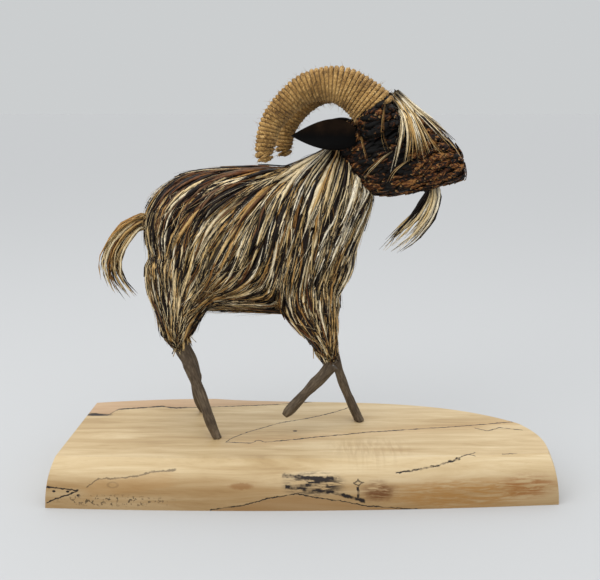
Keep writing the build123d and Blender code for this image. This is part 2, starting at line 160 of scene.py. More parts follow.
def along_curve(points, count):
    """Evenly shared points of a smooth curve through a few points."""
    p = np.asarray(points, float)
    p = np.vstack([2 * p[0] - p[1], p, 2 * p[-1] - p[-2]])
    fine = []
    for i in range(1, len(p) - 2):
        for t in np.linspace(0, 1, 24, endpoint=False):
            a, b, c, d = p[i - 1:i + 3]
            fine.append(0.5 * (2 * b + (c - a) * t + (2 * a - 5 * b + 4 * c - d) * t ** 2
                               + (3 * b - a - 3 * c + d) * t ** 3))
    fine.append(p[-2])
    fine = np.array(fine)
    run = np.concatenate([[0], np.cumsum(np.linalg.norm(np.diff(fine[:, :3], axis=0), axis=1))])
    want = np.linspace(0, run[-1], count)
    return np.stack([np.interp(want, run, fine[:, k]) for k in range(fine.shape[1])], axis=1)


def tube(path, radii, sides, side_hint=(0, 1, 0)):
    """Points, faces and uv of a closed tapered tube. uv is the turn and the run in millimetres."""
    path = np.asarray(path, float)
    radii = np.broadcast_to(np.asarray(radii, float), (len(path),))
    forward = unit(np.gradient(path, axis=0))
    side = unit(np.asarray(side_hint, float) - forward * (forward @ np.asarray(side_hint, float))[:, None])
    over = np.cross(forward, side)
    turn = np.linspace(0, 2 * math.pi, sides, endpoint=False)
    ring = (np.cos(turn)[None, :, None] * side[:, None] + np.sin(turn)[None, :, None] * over[:, None])
    points = (path[:, None] + ring * radii[:, None, None]).reshape(-1, 3)
    points = np.vstack([points, path[:1], path[-1:]])
    faces = []
    for i in range(len(path) - 1):
        for k in range(sides):
            a, b = i * sides + k, i * sides + (k + 1) % sides
            faces.append((a, b, b + sides, a + sides))
    first, last = len(points) - 2, len(points) - 1
    top = (len(path) - 1) * sides
    faces += [(first, (k + 1) % sides, k) for k in range(sides)]
    faces += [(last, top + k, top + (k + 1) % sides) for k in range(sides)]
    run = np.concatenate([[0], np.cumsum(np.linalg.norm(np.diff(path, axis=0), axis=1))])
    around = np.tile(np.abs(np.linspace(-1, 1, sides, endpoint=False)), len(path))
    uv = np.stack([around, np.repeat(run, sides)], 1)
    uv = np.vstack([uv, uv[:1], uv[-1:]])
    return points, faces, uv


class Bundle:
    """Many small forms gathered into one piece's mesh."""

    def __init__(self):
        self.points, self.faces, self.uv, self.tint, self.count = [], [], [], [], 0

    def add(self, points, faces, uv, tint):
        self.points.append(points)
        self.faces += [tuple(k + self.count for k in face) for face in faces]
        self.uv.append(uv)
        self.tint.append(np.tile(tint, (len(points), 1)))
        self.count += len(points)

    def piece(self, name, slot, material):
        uvs = [("vane", np.vstack(self.uv)), ("tint", np.vstack(self.tint))]
        return new_piece(name, np.vstack(self.points), self.faces, material, uvs)


# ---------------------------------------------------------------------------- materials
class Finish:
    """A material under construction, with short ways to add and join its nodes."""

    def __init__(self, name, roughness, **sockets):
        self.material = bpy.data.materials.new(name)
        self.material.use_nodes = True
        self.tree = self.material.node_tree
        self.shader = self.tree.nodes["Principled BSDF"]
        self.shader.inputs["Roughness"].default_value = roughness
        for socket, value in sockets.items():
            self.shader.inputs[socket.replace("_", " ")].default_value = value

    def node(self, kind, **settings):
        made = self.tree.nodes.new("ShaderNode" + kind)
        for key, value in settings.items():
            setattr(made, key, value)
        return made

    def join(self, source, target):
        self.tree.links.new(source, target)

    def put(self, value, socket):
        """Joins a socket, or sets a number or colour."""
        if hasattr(value, "is_linked"):
            self.join(value, socket)
        else:
            socket.default_value = value

    def maths(self, operation, first, second=0.0, third=0.0):
        made = self.node("Math", operation=operation)
        for socket, value in zip(made.inputs, (first, second, third)):
            self.put(value, socket)
        return made.outputs[0]

    def times(self, first, second):
        return self.maths("MULTIPLY", first, second)

    def plus(self, first, second):
        return self.maths("ADD", first, second)

    def minus(self, first, second):
        return self.maths("SUBTRACT", first, second)

    def distance(self, value):
        """How far a value is from 0."""
        return self.maths("ABSOLUTE", value)

    def most(self, *masks):
        """The largest of several values."""
        held = masks[0]
        for mask in masks[1:]:
            held = self.maths("MAXIMUM", held, mask)
        return held

    def steps(self, value, low, high, to_low=0.0, to_high=1.0):
        """A smooth step from one level to another."""
        made = self.node("MapRange", interpolation_type="SMOOTHSTEP")
        for socket, given in zip(made.inputs, (value, low, high, to_low, to_high)):
            self.put(given, socket)
        return made.outputs[0]

    def between(self, value, low, high, soft):
        """1 between two levels and 0 outside them."""
        return self.times(self.steps(value, low - soft, low + soft),
                          self.steps(value, high - soft, high + soft, 1, 0))

    def mix(self, share, first, second, blend="MIX"):
        made = self.node("Mix", data_type="RGBA", blend_type=blend)
        for socket, value in zip((made.inputs[0], made.inputs[6], made.inputs[7]), (share, first, second)):
            self.put(value, socket)
        return made.outputs[2]

    def shaded(self, colour, level):
        """A colour made darker or lighter by a level."""
        return self.mix(1.0, colour, self.point(level, level, level), "MULTIPLY")

    def ramp(self, value, stops):
        made = self.node("ValToRGB")
        while len(made.color_ramp.elements) < len(stops):
            made.color_ramp.elements.new(0.5)
        for element, (place, colour) in zip(made.color_ramp.elements, stops):
            element.position = place
            element.color = (*colour, 1)
        self.put(value, made.inputs[0])
        return made.outputs[0]

    def parts(self, vector):
        """The three numbers of a point."""
        made = self.node("SeparateXYZ")
        self.join(vector, made.inputs[0])
        return made.outputs

    def layer(self, name):
        """The two numbers of one of the piece's own maps."""
        return self.parts(self.node("UVMap", uv_map=name).outputs[0])[:2]

    def vane(self):
        """Where a point is across and along its feather, and how far it is from the shaft."""
        across, along = self.layer("vane")
        return across, along, self.distance(self.maths("MULTIPLY_ADD", across, 2.0, -1.0))

    def place(self, scale=(1, 1, 1)):
        """Object coordinates, stretched."""
        made = self.node("Mapping")
        made.inputs["Scale"].default_value = scale
        self.join(self.node("TexCoord").outputs["Object"], made.inputs["Vector"])
        return made.outputs[0]

    def point(self, x, y, z=0.0):
        made = self.node("CombineXYZ")
        for socket, value in zip(made.inputs, (x, y, z)):
            self.put(value, socket)
        return made.outputs[0]

    def noise(self, vector, scale, detail=3.0, rough=0.55, distortion=0.0):
        made = self.node("TexNoise")
        self.join(vector, made.inputs["Vector"])
        settings = {"Scale": scale, "Detail": detail, "Roughness": rough, "Distortion": distortion}
        for socket, value in settings.items():
            made.inputs[socket].default_value = value
        return made.outputs["Fac"]

    def bump(self, height, strength, distance):
        made = self.node("Bump")
        made.inputs["Strength"].default_value = strength
        made.inputs["Distance"].default_value = distance
        self.join(height, made.inputs["Height"])
        self.join(made.outputs[0], self.shader.inputs["Normal"])

    def paint(self, colour):
        self.put(colour, self.shader.inputs["Base Color"])

    def roughen(self, value):
        self.put(value, self.shader.inputs["Roughness"])


def linear(red, green, blue):
    """A colour given from 0 to 255, as light."""
    return tuple(((c / 255 + 0.055) / 1.055) ** 2.4 if c > 10 else c / 3294.6 for c in (red, green, blue))


def hackle_finish(name, web, stripe_width, plain_share, black_share, root_shade):
    """Long hackles: a black stripe along the shaft, a pale web, and fine barbs that run out to the tip."""
    f = Finish(name, 0.5, Specular_IOR_Level=0.2)
    across, along, off = f.vane()
    kind, shade = f.layer("tint")
    seed = f.times(shade, 37.0)
    barbs = f.minus(f.times(along, 46.0), f.times(off, 5.0))
    barb = f.noise(f.point(barbs, f.times(across, 2.4), seed), 1.0, 2.0)
    patch = f.noise(f.point(f.times(along, 3.0), across, seed), 1.3, 2.0)
    width = f.steps(along, 0.1, 0.95, stripe_width, stripe_width * 0.45)
    edge = f.plus(off, f.times(f.minus(barb, 0.5), 0.5))
    stripe = f.steps(f.minus(edge, width), -0.07, 0.09, 1.0, 0.0)
    striped = f.steps(kind, plain_share, plain_share + 0.02)
    all_black = f.steps(kind, 1.0 - black_share, 1.01 - black_share)
    black = f.most(f.times(stripe, striped), all_black)
    pale = f.ramp(f.plus(shade, f.times(f.minus(patch, 0.5), 0.3)), web)
    streak = f.times(f.steps(barb, 0.3, 0.7, 0.7, 1.3), f.steps(along, 0.0, 0.35, root_shade, 1.0))
    dark = f.ramp(patch, [(0.3, linear(6, 4, 3)), (0.7, linear(34, 20, 12))])
    f.paint(f.mix(black, f.shaded(pale, streak), dark))
    f.roughen(f.steps(black, 0, 1, 0.6, 0.42))
    f.bump(barb, 0.35, 0.0004)
    return f.material


def game_finish():
    """Short feathers from a game bird: dark brown, with rust and buff marks and pale rims."""
    f = Finish("game_feather", 0.55, Specular_IOR_Level=0.18)
    across, along, off = f.vane()
    kind, shade = f.layer("tint")
    seed = f.times(shade, 53.0)
    bars = f.times(f.minus(along, f.times(off, 0.35)), 7.0)
    bars = f.noise(f.point(bars, f.times(across, 2.0), seed), 1.0, 3.0, 0.6)
    barb = f.minus(f.times(along, 30.0), f.times(off, 6.0))
    barb = f.noise(f.point(barb, f.times(across, 3.0), seed), 1.0, 2.0)
    body = f.ramp(f.plus(bars, f.times(f.minus(kind, 0.5), 0.32)),
                  [(0.42, linear(4, 3, 2)), (0.54, linear(18, 10, 6)), (0.62, linear(92, 48, 18)),
                   (0.74, linear(168, 118, 64))])
    rim = f.steps(f.most(off, f.times(along, 0.96)), 0.86, 0.97)
    rim = f.times(rim, f.steps(kind, 0.45, 0.65, 0.0, 0.85))
    colour = f.mix(rim, body, (*linear(196, 160, 106), 1))
    f.paint(f.shaded(colour, f.steps(barb, 0.3, 0.7, 0.7, 1.15)))
    f.bump(barb, 0.35, 0.0003)
    return f.material


def down_finish():
    """The brown down under the hackles."""
    f = Finish("down", 0.85, Specular_IOR_Level=0.1)
    fibre = f.noise(f.place((160, 160, 60)), 6.0, 5.0, 0.65)
    f.paint(f.ramp(fibre, [(0.35, linear(8, 6, 5)), (0.55, linear(30, 20, 13)), (0.75, linear(78, 56, 34))]))
    f.bump(fibre, 0.6, 0.001)
    return f.material


def jute_finish():
    """Twisted jute: straw-gold fibres with a soft nap and darker hollows."""
    f = Finish("jute", 0.8, Sheen_Weight=0.15, Sheen_Roughness=0.5, Specular_IOR_Level=0.15)
    around, along = f.layer("vane")
    ply = f.layer("tint")[1]
    fibre = f.noise(f.point(f.times(around, 5.0), f.times(along, 0.35), ply), 1.6, 4.0, 0.6)
    patch = f.noise(f.place((90, 90, 90)), 1.0, 3.0)
    tone = f.plus(f.times(fibre, 0.7), f.times(patch, 0.3))
    f.paint(f.ramp(tone, [(0.32, linear(64, 40, 16)), (0.44, linear(136, 102, 54)),
                          (0.55, linear(184, 146, 86)),
                          (0.7, linear(226, 194, 136))]))
    f.bump(fibre, 0.6, 0.0003)
    return f.material


def leather_finish():
    """Near-black leather with a fine pebble, brown towards its upper rim: partly wear, partly a painted
    sheen.
    """
    f = Finish("ear_leather", 0.62, Specular_IOR_Level=0.05)
    pebble = f.node("TexVoronoi", feature="DISTANCE_TO_EDGE")
    f.join(f.place(), pebble.inputs["Vector"])
    pebble.inputs["Scale"].default_value = 1400
    patch = f.noise(f.place(), 70.0, 4.0)
    low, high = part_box("ear_right")
    middle = (low[2] + high[2]) / 2
    rise = f.parts(f.place())[2]
    # the upper part is painted brown: partly wear, partly a painted sheen where the light from above falls
    upper_wear_and_sheen = f.steps(f.plus(rise, f.times(patch, 0.006)), middle + 0.001, middle + 0.010)
    black = f.ramp(patch, [(0.35, linear(1, 1, 1)), (0.6, linear(3, 2, 2)), (0.8, linear(8, 5, 4))])
    brown = f.ramp(patch, [(0.35, linear(14, 9, 5)), (0.6, linear(32, 21, 12)), (0.8, linear(50, 34, 20))])
    f.paint(f.mix(upper_wear_and_sheen, black, brown))
    f.roughen(f.steps(patch, 0.3, 0.7, 0.62, 0.5))
    f.bump(pebble.outputs["Distance"], 0.25, 0.0003)
    return f.material


def twig_finish():
    """Peeled stick, weathered grey-brown, with long fibres and dark specks."""
    f = Finish("twig", 0.72, Specular_IOR_Level=0.3)
    around, along = f.layer("vane")
    fibre = f.noise(f.point(f.times(around, 7.0), f.times(along, 0.12)), 1.4, 5.0, 0.65)
    blotch = f.noise(f.place((1, 1, 0.5)), 130.0, 3.0)
    tone = f.plus(f.times(fibre, 0.6), f.times(blotch, 0.4))
    f.paint(f.ramp(tone, [(0.3, linear(40, 32, 24)), (0.48, linear(80, 67, 52)), (0.6, linear(106, 92, 74)),
                          (0.75, linear(138, 124, 104))]))
    f.bump(fibre, 0.5, 0.0005)
    return f.material


def plain_wood_finish(name, pale, dark):
    """Wood that stays out of sight: the carved cores and the dowel."""
    f = Finish(name, 0.6)
    grain = f.noise(f.place((12, 120, 120)), 1.0, 4.0)
    f.paint(f.ramp(grain, [(0.35, linear(*dark)), (0.65, linear(*pale))]))
    f.bump(grain, 0.2, 0.0004)
    return f.material


def steel_finish():
    f = Finish("pin_steel", 0.35, Metallic=1.0)
    drawn = f.noise(f.place((40, 40, 900)), 3.0, 2.0)
    f.paint(f.ramp(drawn, [(0.3, (0.42, 0.42, 0.43)), (0.7, (0.62, 0.62, 0.62))]))
    f.bump(drawn, 0.1, 0.0001)
    return f.material


def padding_finish():
    """Dull straw-coloured padding in the hollows between the turns of twine."""
    f = Finish("horn_padding", 0.9)
    fibre = f.noise(f.place(), 400.0, 3.0)
    f.paint(f.ramp(fibre, [(0.35, linear(84, 60, 34)), (0.7, linear(150, 116, 72))]))
    f.bump(fibre, 0.3, 0.0004)
    return f.material


# the maple's dark zone lines: points of x and fall, width, how far the line wanders, and strength
ZONE_LINES = {
    "wedge_back": ([(-54, -25), (-50, -17), (-40, -6), (-18, 12), (3, 22), (23, 35), (34, 46)], 1.0, 0.25, 1),
    "wedge_front": ([(-54, -25), (-37, -27), (-32, -21), (-27, -25), (3, -17), (45, -6), (104, 4), (150, 14)],
                    1.0, 0.25, 1),
    "ledge": ([(-165, 33), (-153, 31), (-145, 28), (-140, 41), (-108, 48), (-98, 44), (-73, 46), (-26, 51),
               (3, 58), (60, 62), (110, 60)], 0.9, 0.25, 1),
    "left_brow": ([(-140, -69), (-133, -63), (-119, -62), (-106, -60), (-99, -58), (-83, -56)], 0.8, 0.25,
                  0.6),
    "sawn_edge": ([(-61, -87), (-41, -83), (-24, -77), (-7, -73), (25, -80), (39, -84), (80, -89)], 0.7, 0.25,
                  1),
    "right_crack": ([(58, -59), (84, -55), (100, -51), (106, -47), (112, -43)], 0.8, 0.25, 1),
    "bark_high": ([(-15, -59.5), (0, -61), (20, -62)], 2.0, 0.4, 1),
    "bark_low": ([(-13, -67), (4, -70), (18, -72), (38, -80)], 2.2, 0.4, 1),
    "right_shoulder": ([(120, 2), (128, -4), (138, 3), (153, -2)], 0.9, 0.25, 1),
    "left_notch_top": ([(-166, -69.5), (-145, -72)], 0.9, 0.25, 1),
    "left_notch_low": ([(-166, -83), (-145, -72)], 0.9, 0.25, 1),
    "wriggle": ([(103, -49), (107, -46), (111, -49)], 0.9, 0.25, 1),
    "dash": ([(129, -46), (139, -45)], 0.7, 0.25, 1),
}
# worm holes: x, fall and radius
HOLES = ((-7, -4, 1.8), (-161, -73, 1.3), (-152, -73, 1.3), (-145, -76, 1.5), (-62, -20, 1.2))
# stains: the blot's x, fall, half length, half depth and raggedness, its inner edge, its strength,
# the smear's two levels, and the colour
STAINS = (
    ((100, -76, 62, 15, 0.5), 0.4, 0.8, (0.34, 0.6), (158, 112, 52)),
    ((143, -71, 24, 11, 1.0), 0.3, 0.8, (0.4, 0.6), (140, 88, 38)),
    ((46, -72, 13, 10, 1.6), 0.3, 0.95, (0.36, 0.52), (104, 64, 28)),
)
LEFT, LONG = -175.0, 350.0  # the lines' stretch of x
LOWEST, DEEP = -110.0, 200.0  # and of fall


def maple_finish():
    """Spalted maple. x runs along the slab, and fall runs from its back, over the top and down the front."""
    f = Finish("maple", 0.5, Specular_IOR_Level=0.3)
    x, y, z = f.parts(f.place((1 / MM, 1 / MM, 1 / MM)))
    fall = f.minus(f.most(y, -50.0), f.times(f.minus(SLAB_TOP, z), 1.3))
    wander = f.times(f.minus(f.noise(f.place(), 60.0, 4.0, 0.6), 0.5), 9.0)
    shiver = f.times(f.minus(f.noise(f.place(), 420.0, 2.0), 0.5), 2.6)

    def line(points, width, drift, strength):
        """A zone line's mask, and how far each place lies behind the line."""
        curve = f.node("FloatCurve")
        held = curve.mapping.curves[0].points
        spots = [((px - LEFT) / LONG, (pf - LOWEST) / DEEP) for px, pf in points]
        held[0].location, held[1].location = spots[0], spots[-1]
        for spot in spots[1:-1]:
            held.new(*spot)
        for point in held:
            point.handle_type = "VECTOR"
        curve.mapping.update()
        f.join(f.maths("DIVIDE", f.minus(x, LEFT), LONG), curve.inputs["Value"])
        level = f.plus(f.times(curve.outputs[0], DEEP), LOWEST)
        gap = f.plus(f.minus(fall, level), f.plus(f.times(wander, drift), shiver))
        mask = f.steps(f.distance(gap), width * 0.35, width, 1, 0)
        return f.times(f.times(mask, f.between(x, points[0][0], points[-1][0], 0.6)), strength), gap

    def blot(px, pf, wide, deep, ragged=0.5):
        """How far out of a ragged blot a place is, where its rim is 1."""
        dx = f.maths("DIVIDE", f.plus(f.minus(x, px), f.times(wander, ragged)), wide)
        df = f.maths("DIVIDE", f.plus(f.minus(fall, pf), f.times(shiver, ragged)), deep)
        return f.maths("SQRT", f.plus(f.times(dx, dx), f.times(df, df)))

    def stain(wood, mask, *colour):
        return f.mix(mask, wood, (*linear(*colour), 1))

    grain = f.noise(f.point(f.times(x, 0.012), f.times(fall, 0.11), f.times(z, 0.03)), 1.0, 6.0, 0.62, 0.6)
    cloud = f.noise(f.place((7, 22, 22)), 1.0, 3.0, 0.5, 0.3)
    fleck = f.noise(f.point(f.times(x, 0.10), f.times(fall, 1.1)), 1.0, 3.0, 0.6)
    curl = f.noise(f.point(f.times(x, 0.34), f.times(fall, 0.05)), 1.0, 2.0, 0.5, 0.8)
    smear = f.noise(f.point(f.times(x, 0.06), f.times(fall, 0.42)), 1.0, 4.0, 0.65, 0.5)
    tone = f.plus(f.times(grain, 0.62), f.times(cloud, 0.38))
    drawn = {name: line(*settings) for name, settings in ZONE_LINES.items()}
    in_wedge, behind_ledge, under_brow, over_saw = (drawn[name][1] for name in ("wedge_front", "ledge",
                                                                                "left_brow",
                                                                                "sawn_edge"))
    wood = f.ramp(tone, [(0.3, linear(150, 122, 82)), (0.42, linear(180, 154, 112)),
                         (0.54, linear(198, 175, 135)),
                         (0.68, linear(214, 195, 158))])
    wood = stain(wood, f.times(f.steps(fleck, 0.55, 0.75), 0.3), 160, 126, 84)
    curled = f.times(f.steps(blot(44, -35, 40, 26), 0.3, 1.0, 0.34, 0.0), f.steps(curl, 0.35, 0.65))
    wood = stain(wood, curled, 158, 128, 90)
    rear = f.times(f.steps(behind_ledge, -0.5, 3.0), f.steps(x, 60.0, 110.0, 1, 0))
    wood = stain(wood, f.times(rear, 0.55), 178, 140, 112)
    wedge = f.times(f.steps(f.distance(in_wedge), 0.5, 12.0, 0.3, 0.0), f.steps(x, -54, -40))
    wood = stain(wood, wedge, 186, 150, 104)
    heel = f.times(f.steps(over_saw, -1.5, 0.3, 1, 0), f.between(x, -58.0, 70.0, 4.0))
    wood = stain(wood, f.times(heel, 0.5), 140, 104, 66)
    # painted shade: below its top edge the front face is made darker and browner than the top, broken up by
    # the grain
    front_painted_shade = f.times(f.steps(fall, -72.0, -54.0, 0.62, 0.0), f.steps(tone, 0.3, 0.6, 1.0, 0.7))
    wood = stain(wood, front_painted_shade, 146, 108, 60)
    low_left = f.times(f.between(under_brow, -12.0, -0.3, 0.6), f.between(x, -140.0, -85.0, 6.0))
    wood = stain(wood, f.times(low_left, 0.3), 166, 126, 74)
    for place, inner, strength, (low, high), colour in STAINS:
        wood = stain(wood, f.times(f.steps(blot(*place), inner, 1.1, strength, 0), f.steps(smear, low, high)),
                     *colour)
    wood = stain(wood, f.steps(blot(-41, -67, 9, 3.0, 0.9), 0.5, 1.1, 0.7, 0), 138, 96, 52)

    ledge_shade = f.times(f.steps(f.distance(behind_ledge), 0.8, 1.8, 1, 0), f.between(x, -160.0, -88.0, 4.0))
    bark = f.times(f.steps(blot(6, -66, 24, 11, 0.8), 0.4, 1.0, 1, 0), f.steps(smear, 0.44, 0.52))
    gash = f.steps(blot(-152, 29, 12, 2.8, 0.3), 0.6, 1.0, 1, 0)
    holes = f.most(*[f.steps(blot(px, pf, size, size * 0.8, 0.0), 0.7, 1.0, 1, 0) for px, pf, size in HOLES])
    oval = f.steps(f.distance(f.minus(blot(-123, -67, 3.2, 2.0, 0.0), 1.0)), 0.1, 0.4, 0.22, 0.0)
    side_run = f.distance(f.plus(f.minus(x, 34.0), wander))
    down_run = f.distance(f.plus(f.minus(fall, -65.0), f.times(shiver, 1.2)))
    lozenge = f.plus(f.maths("DIVIDE", side_run, 2.5), f.maths("DIVIDE", down_run, 2.2))
    lozenge = f.steps(f.distance(f.minus(lozenge, 1.0)), 0.12, 0.4, 0.8, 0)
    stalk = f.steps(f.distance(f.minus(f.plus(x, wander), 33.5)), 0.5, 1.2, 1, 0)
    stalk = f.times(stalk, f.between(fall, -77.0, -68.0, 0.5))
    pepper = f.steps(f.noise(f.place(), 520.0, 2.0), 0.54, 0.62)
    pepper = f.times(pepper, f.steps(blot(-122, -80, 48, 6.5, 0.4), 0.4, 1.0, 0.75, 0))
    lines = [mask for mask, _ in drawn.values()]
    dark = f.most(*lines, ledge_shade, bark, gash, holes, oval, lozenge, stalk, pepper)
    broken = f.steps(f.noise(f.place(), 150.0, 2.0), 0.34, 0.5, 0.42, 1.0)
    f.paint(stain(wood, f.times(dark, broken), 30, 20, 14))
    f.bump(f.minus(f.times(fleck, 0.25), f.most(gash, holes, drawn["ledge"][0])), 0.5, 0.0008)
    return f.material


CREAM = [(0.0, linear(244, 233, 208)), (0.3, linear(224, 203, 160)), (0.5, linear(206, 174, 116)),
         (0.66, linear(170, 128, 70)), (0.82, linear(100, 58, 28)), (0.97, linear(118, 98, 74))]
HACKLE = hackle_finish("hackle", CREAM, 0.36, 0.2, 0.18, 0.5)
PLUME = hackle_finish("plume", CREAM, 0.3, 0.45, 0.1, 0.25)
GAME = game_finish()
DOWN = down_finish()
JUTE = jute_finish()
LEATHER = leather_finish()
TWIG = twig_finish()
CARVED = plain_wood_finish("carved_wood", (206, 180, 138), (170, 138, 94))
DOWEL = plain_wood_finish("dowel_birch", (222, 200, 160), (196, 168, 122))
STEEL = steel_finish()
MAPLE = maple_finish()
PADDING = padding_finish()


# ---------------------------------------------------------------------------- the skin under the coat
COAT_NODES = ["rump_hackles", "flank_hackles", "shoulder_hackles", "chest_hackles", "neck_hackles",
              "thigh_right_hackles", "thigh_left_hackles", "foreleg_right_hackles", "foreleg_left_hackles"]
HEAD_NODES = ["crown_feathers", "cheek_feathers", "muzzle_feathers"]
CORE_NODES = ["torso_core", "neck_core", "thigh_right_core", "thigh_left_core", "foreleg_right_core",
              "foreleg_left_core"]


def skin_over(names, name, voxel, rounds, extra=()):
    """One closed skin round several CAD nodes, with the steps between them smoothed away."""
    deselect()
    for piece in extra:
        piece.select_set(True)
    for node in names:
        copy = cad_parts[node].copy()
        copy.data = copy.data.copy()
        copy.parent = None
        bpy.context.scene.collection.objects.link(copy)
        copy.hide_set(False)
        copy.select_set(True)
        bpy.context.view_layer.objects.active = copy
    bpy.ops.object.join()
    skin = bpy.context.object
    skin.name = name
    skin.data.materials.clear()
    remesh = skin.modifiers.new("remesh", "REMESH")
    remesh.mode = "VOXEL"
    remesh.voxel_size = voxel * MM
    smooth = skin.modifiers.new("smooth", "SMOOTH")
    smooth.factor = 0.5
    smooth.iterations = rounds
    apply_modifiers(skin)
    return skin


class Skin:
    """Nearest points and normals on a skin, and points spread evenly over it."""

    def __init__(self, piece):
        mesh = piece.data
        self.points = np.array([v.co[:] for v in mesh.vertices]) / MM
        mesh.calc_loop_triangles()
        self.triangles = np.array([t.vertices[:] for t in mesh.loop_triangles])
        self.tree = BVHTree.FromPolygons(self.points.tolist(), self.triangles.tolist())
        self.normals = np.array([v.normal[:] for v in mesh.vertices])

    def nearest(self, point):
        place, _, index, _ = self.tree.find_nearest(Vector(point))
        place = np.array(place)
        corners = self.triangles[index]
        weight = 1 / (np.linalg.norm(self.points[corners] - place, axis=1) + 0.05)
        normal = (self.normals[corners] * weight[:, None]).sum(0)
        return place, normal / np.linalg.norm(normal)

    def spread(self, rng, gap, tries):
        """Points at least a gap apart, thrown over the whole skin. The gap may depend on the place."""
        a, b, c = (self.points[self.triangles[:, k]] for k in range(3))
        area = np.linalg.norm(np.cross(b - a, c - a), axis=1)
        chosen = rng.choice(len(area), size=tries, p=area / area.sum())
        u, v = rng.random(tries), rng.random(tries)
        flip = u + v > 1
        u[flip], v[flip] = 1 - u[flip], 1 - v[flip]
        thrown = a[chosen] + (b - a)[chosen] * u[:, None] + (c - a)[chosen] * v[:, None]
        cell = 6.0
        held, kept = {}, []
        for point in thrown:
            need = gap(point)
            key = tuple((point // cell).astype(int))
            close = (q for dx in (-1, 0, 1) for dy in (-1, 0, 1) for dz in (-1, 0, 1)
                     for q in held.get((key[0] + dx, key[1] + dy, key[2] + dz), ()))
            if all(np.dot(q - point, q - point) >= need * need for q in close):
                held.setdefault(key, []).append(point)
                kept.append(point)
        return np.array(kept)


# ---------------------------------------------------------------------------- one feather
# (share of the length, share of the width) from the quill to the tip
HACKLE_OUTLINE = [(0, 0.3), (0.1, 0.72), (0.22, 0.95), (0.36, 1.0), (0.5, 0.94), (0.63, 0.8), (0.76, 0.58),
                  (0.88, 0.34), (1, 0.03)]
GAME_OUTLINE = [(0, 0.3), (0.25, 0.8), (0.5, 1.0), (0.72, 0.94), (0.88, 0.66), (1, 0.1)]


def model_feather(name, outline, crown, notch):
    """A closed feather of unit length and width: crowned along its shaft, with notches where barbs part."""
    deselect()
    rows = len(outline)
    bpy.ops.mesh.primitive_grid_add(x_subdivisions=2, y_subdivisions=rows - 1, size=1, location=(0, 0.5, 0))
    feather = bpy.context.object
    feather.name = name
    settle(feather)
    mesh = feather.data

    def pick(test):
        bpy.ops.object.mode_set(mode="OBJECT")
        for polygon in mesh.polygons:
            polygon.select = False
        for edge in mesh.edges:
            edge.select = False
        for vertex in mesh.vertices:
            vertex.select = test(vertex)
        bpy.ops.object.mode_set(mode="EDIT")

    bpy.ops.object.mode_set(mode="EDIT")
    bpy.ops.mesh.select_mode(type="VERT")
    for row, (along, width) in reversed(list(enumerate(outline))):
        level = row / (rows - 1)
        pick(lambda v: abs(v.co.y - level) < 1e-4 and not v.hide)
        bpy.ops.transform.resize(value=(width, 1, 1), center_override=(0, level, 0))
        bpy.ops.transform.translate(value=(0, along - level + 2.0, 0))
    pick(lambda v: True)
    bpy.ops.transform.translate(value=(0, -2.0, 0))
    for row, (along, _) in enumerate(outline):
        if row % 2 and row < rows - 1:
            pick(lambda v: abs(v.co.y - along) < 1e-4 and abs(v.co.x) > 1e-4)
            bpy.ops.transform.resize(value=(1 - notch, 1, 1), center_override=(0, along, 0))
            bpy.ops.transform.translate(value=(0, -0.045, 0))
    pick(lambda v: abs(v.co.x) < 1e-4)
    bpy.ops.transform.translate(value=(0, 0, crown))
    bpy.ops.mesh.select_all(action="SELECT")
    bpy.ops.mesh.duplicate()
    bpy.ops.mesh.flip_normals()
    bpy.ops.object.mode_set(mode="OBJECT")
    for vertex in mesh.vertices:
        if vertex.select and abs(vertex.co.x) < 1e-4:
            vertex.co.z -= crown * 0.75
    bpy.ops.object.mode_set(mode="EDIT")
    bpy.ops.mesh.select_all(action="SELECT")
    bpy.ops.mesh.remove_doubles(threshold=1e-5)
    bpy.ops.object.mode_set(mode="OBJECT")
    points = np.array([v.co[:] for v in mesh.vertices])
    faces = [tuple(p.vertices) for p in mesh.polygons]
    bpy.data.objects.remove(feather)
    return Feather(points, faces, [along for along, _ in outline])


class Feather:
    """A modelled feather, ready to be copied along spines."""

    def __init__(self, points, faces, rows):
        self.points, self.faces = points, faces
        self.rows = np.array(rows)
        self.uv = np.stack([points[:, 0] + 0.5, np.clip(points[:, 1], 0, 1)], 1)
        place = np.interp(points[:, 1], self.rows, np.arange(len(rows)))
        self.low = np.clip(place.astype(int), 0, len(rows) - 2)
        self.share = (place - self.low)[:, None]

    def lay(self, spine, normals, width):
        """The feather's points when its shaft follows a spine. Rows of the spine match rows of the
        outline."""
        forward = unit(np.gradient(spine, axis=0))
        side = unit(np.cross(forward, normals))
        lift = np.cross(side, forward)

        def at(values):
            return values[self.low] * (1 - self.share) + values[self.low + 1] * self.share

        return at(spine) + at(side) * self.points[:, :1] * width + at(lift) * self.points[:, 2:] * width


LONG_HACKLE = model_feather("long_hackle", HACKLE_OUTLINE, 0.16, 0.22)
GAME_FEATHER = model_feather("game_feather", GAME_OUTLINE, 0.12, 0.1)


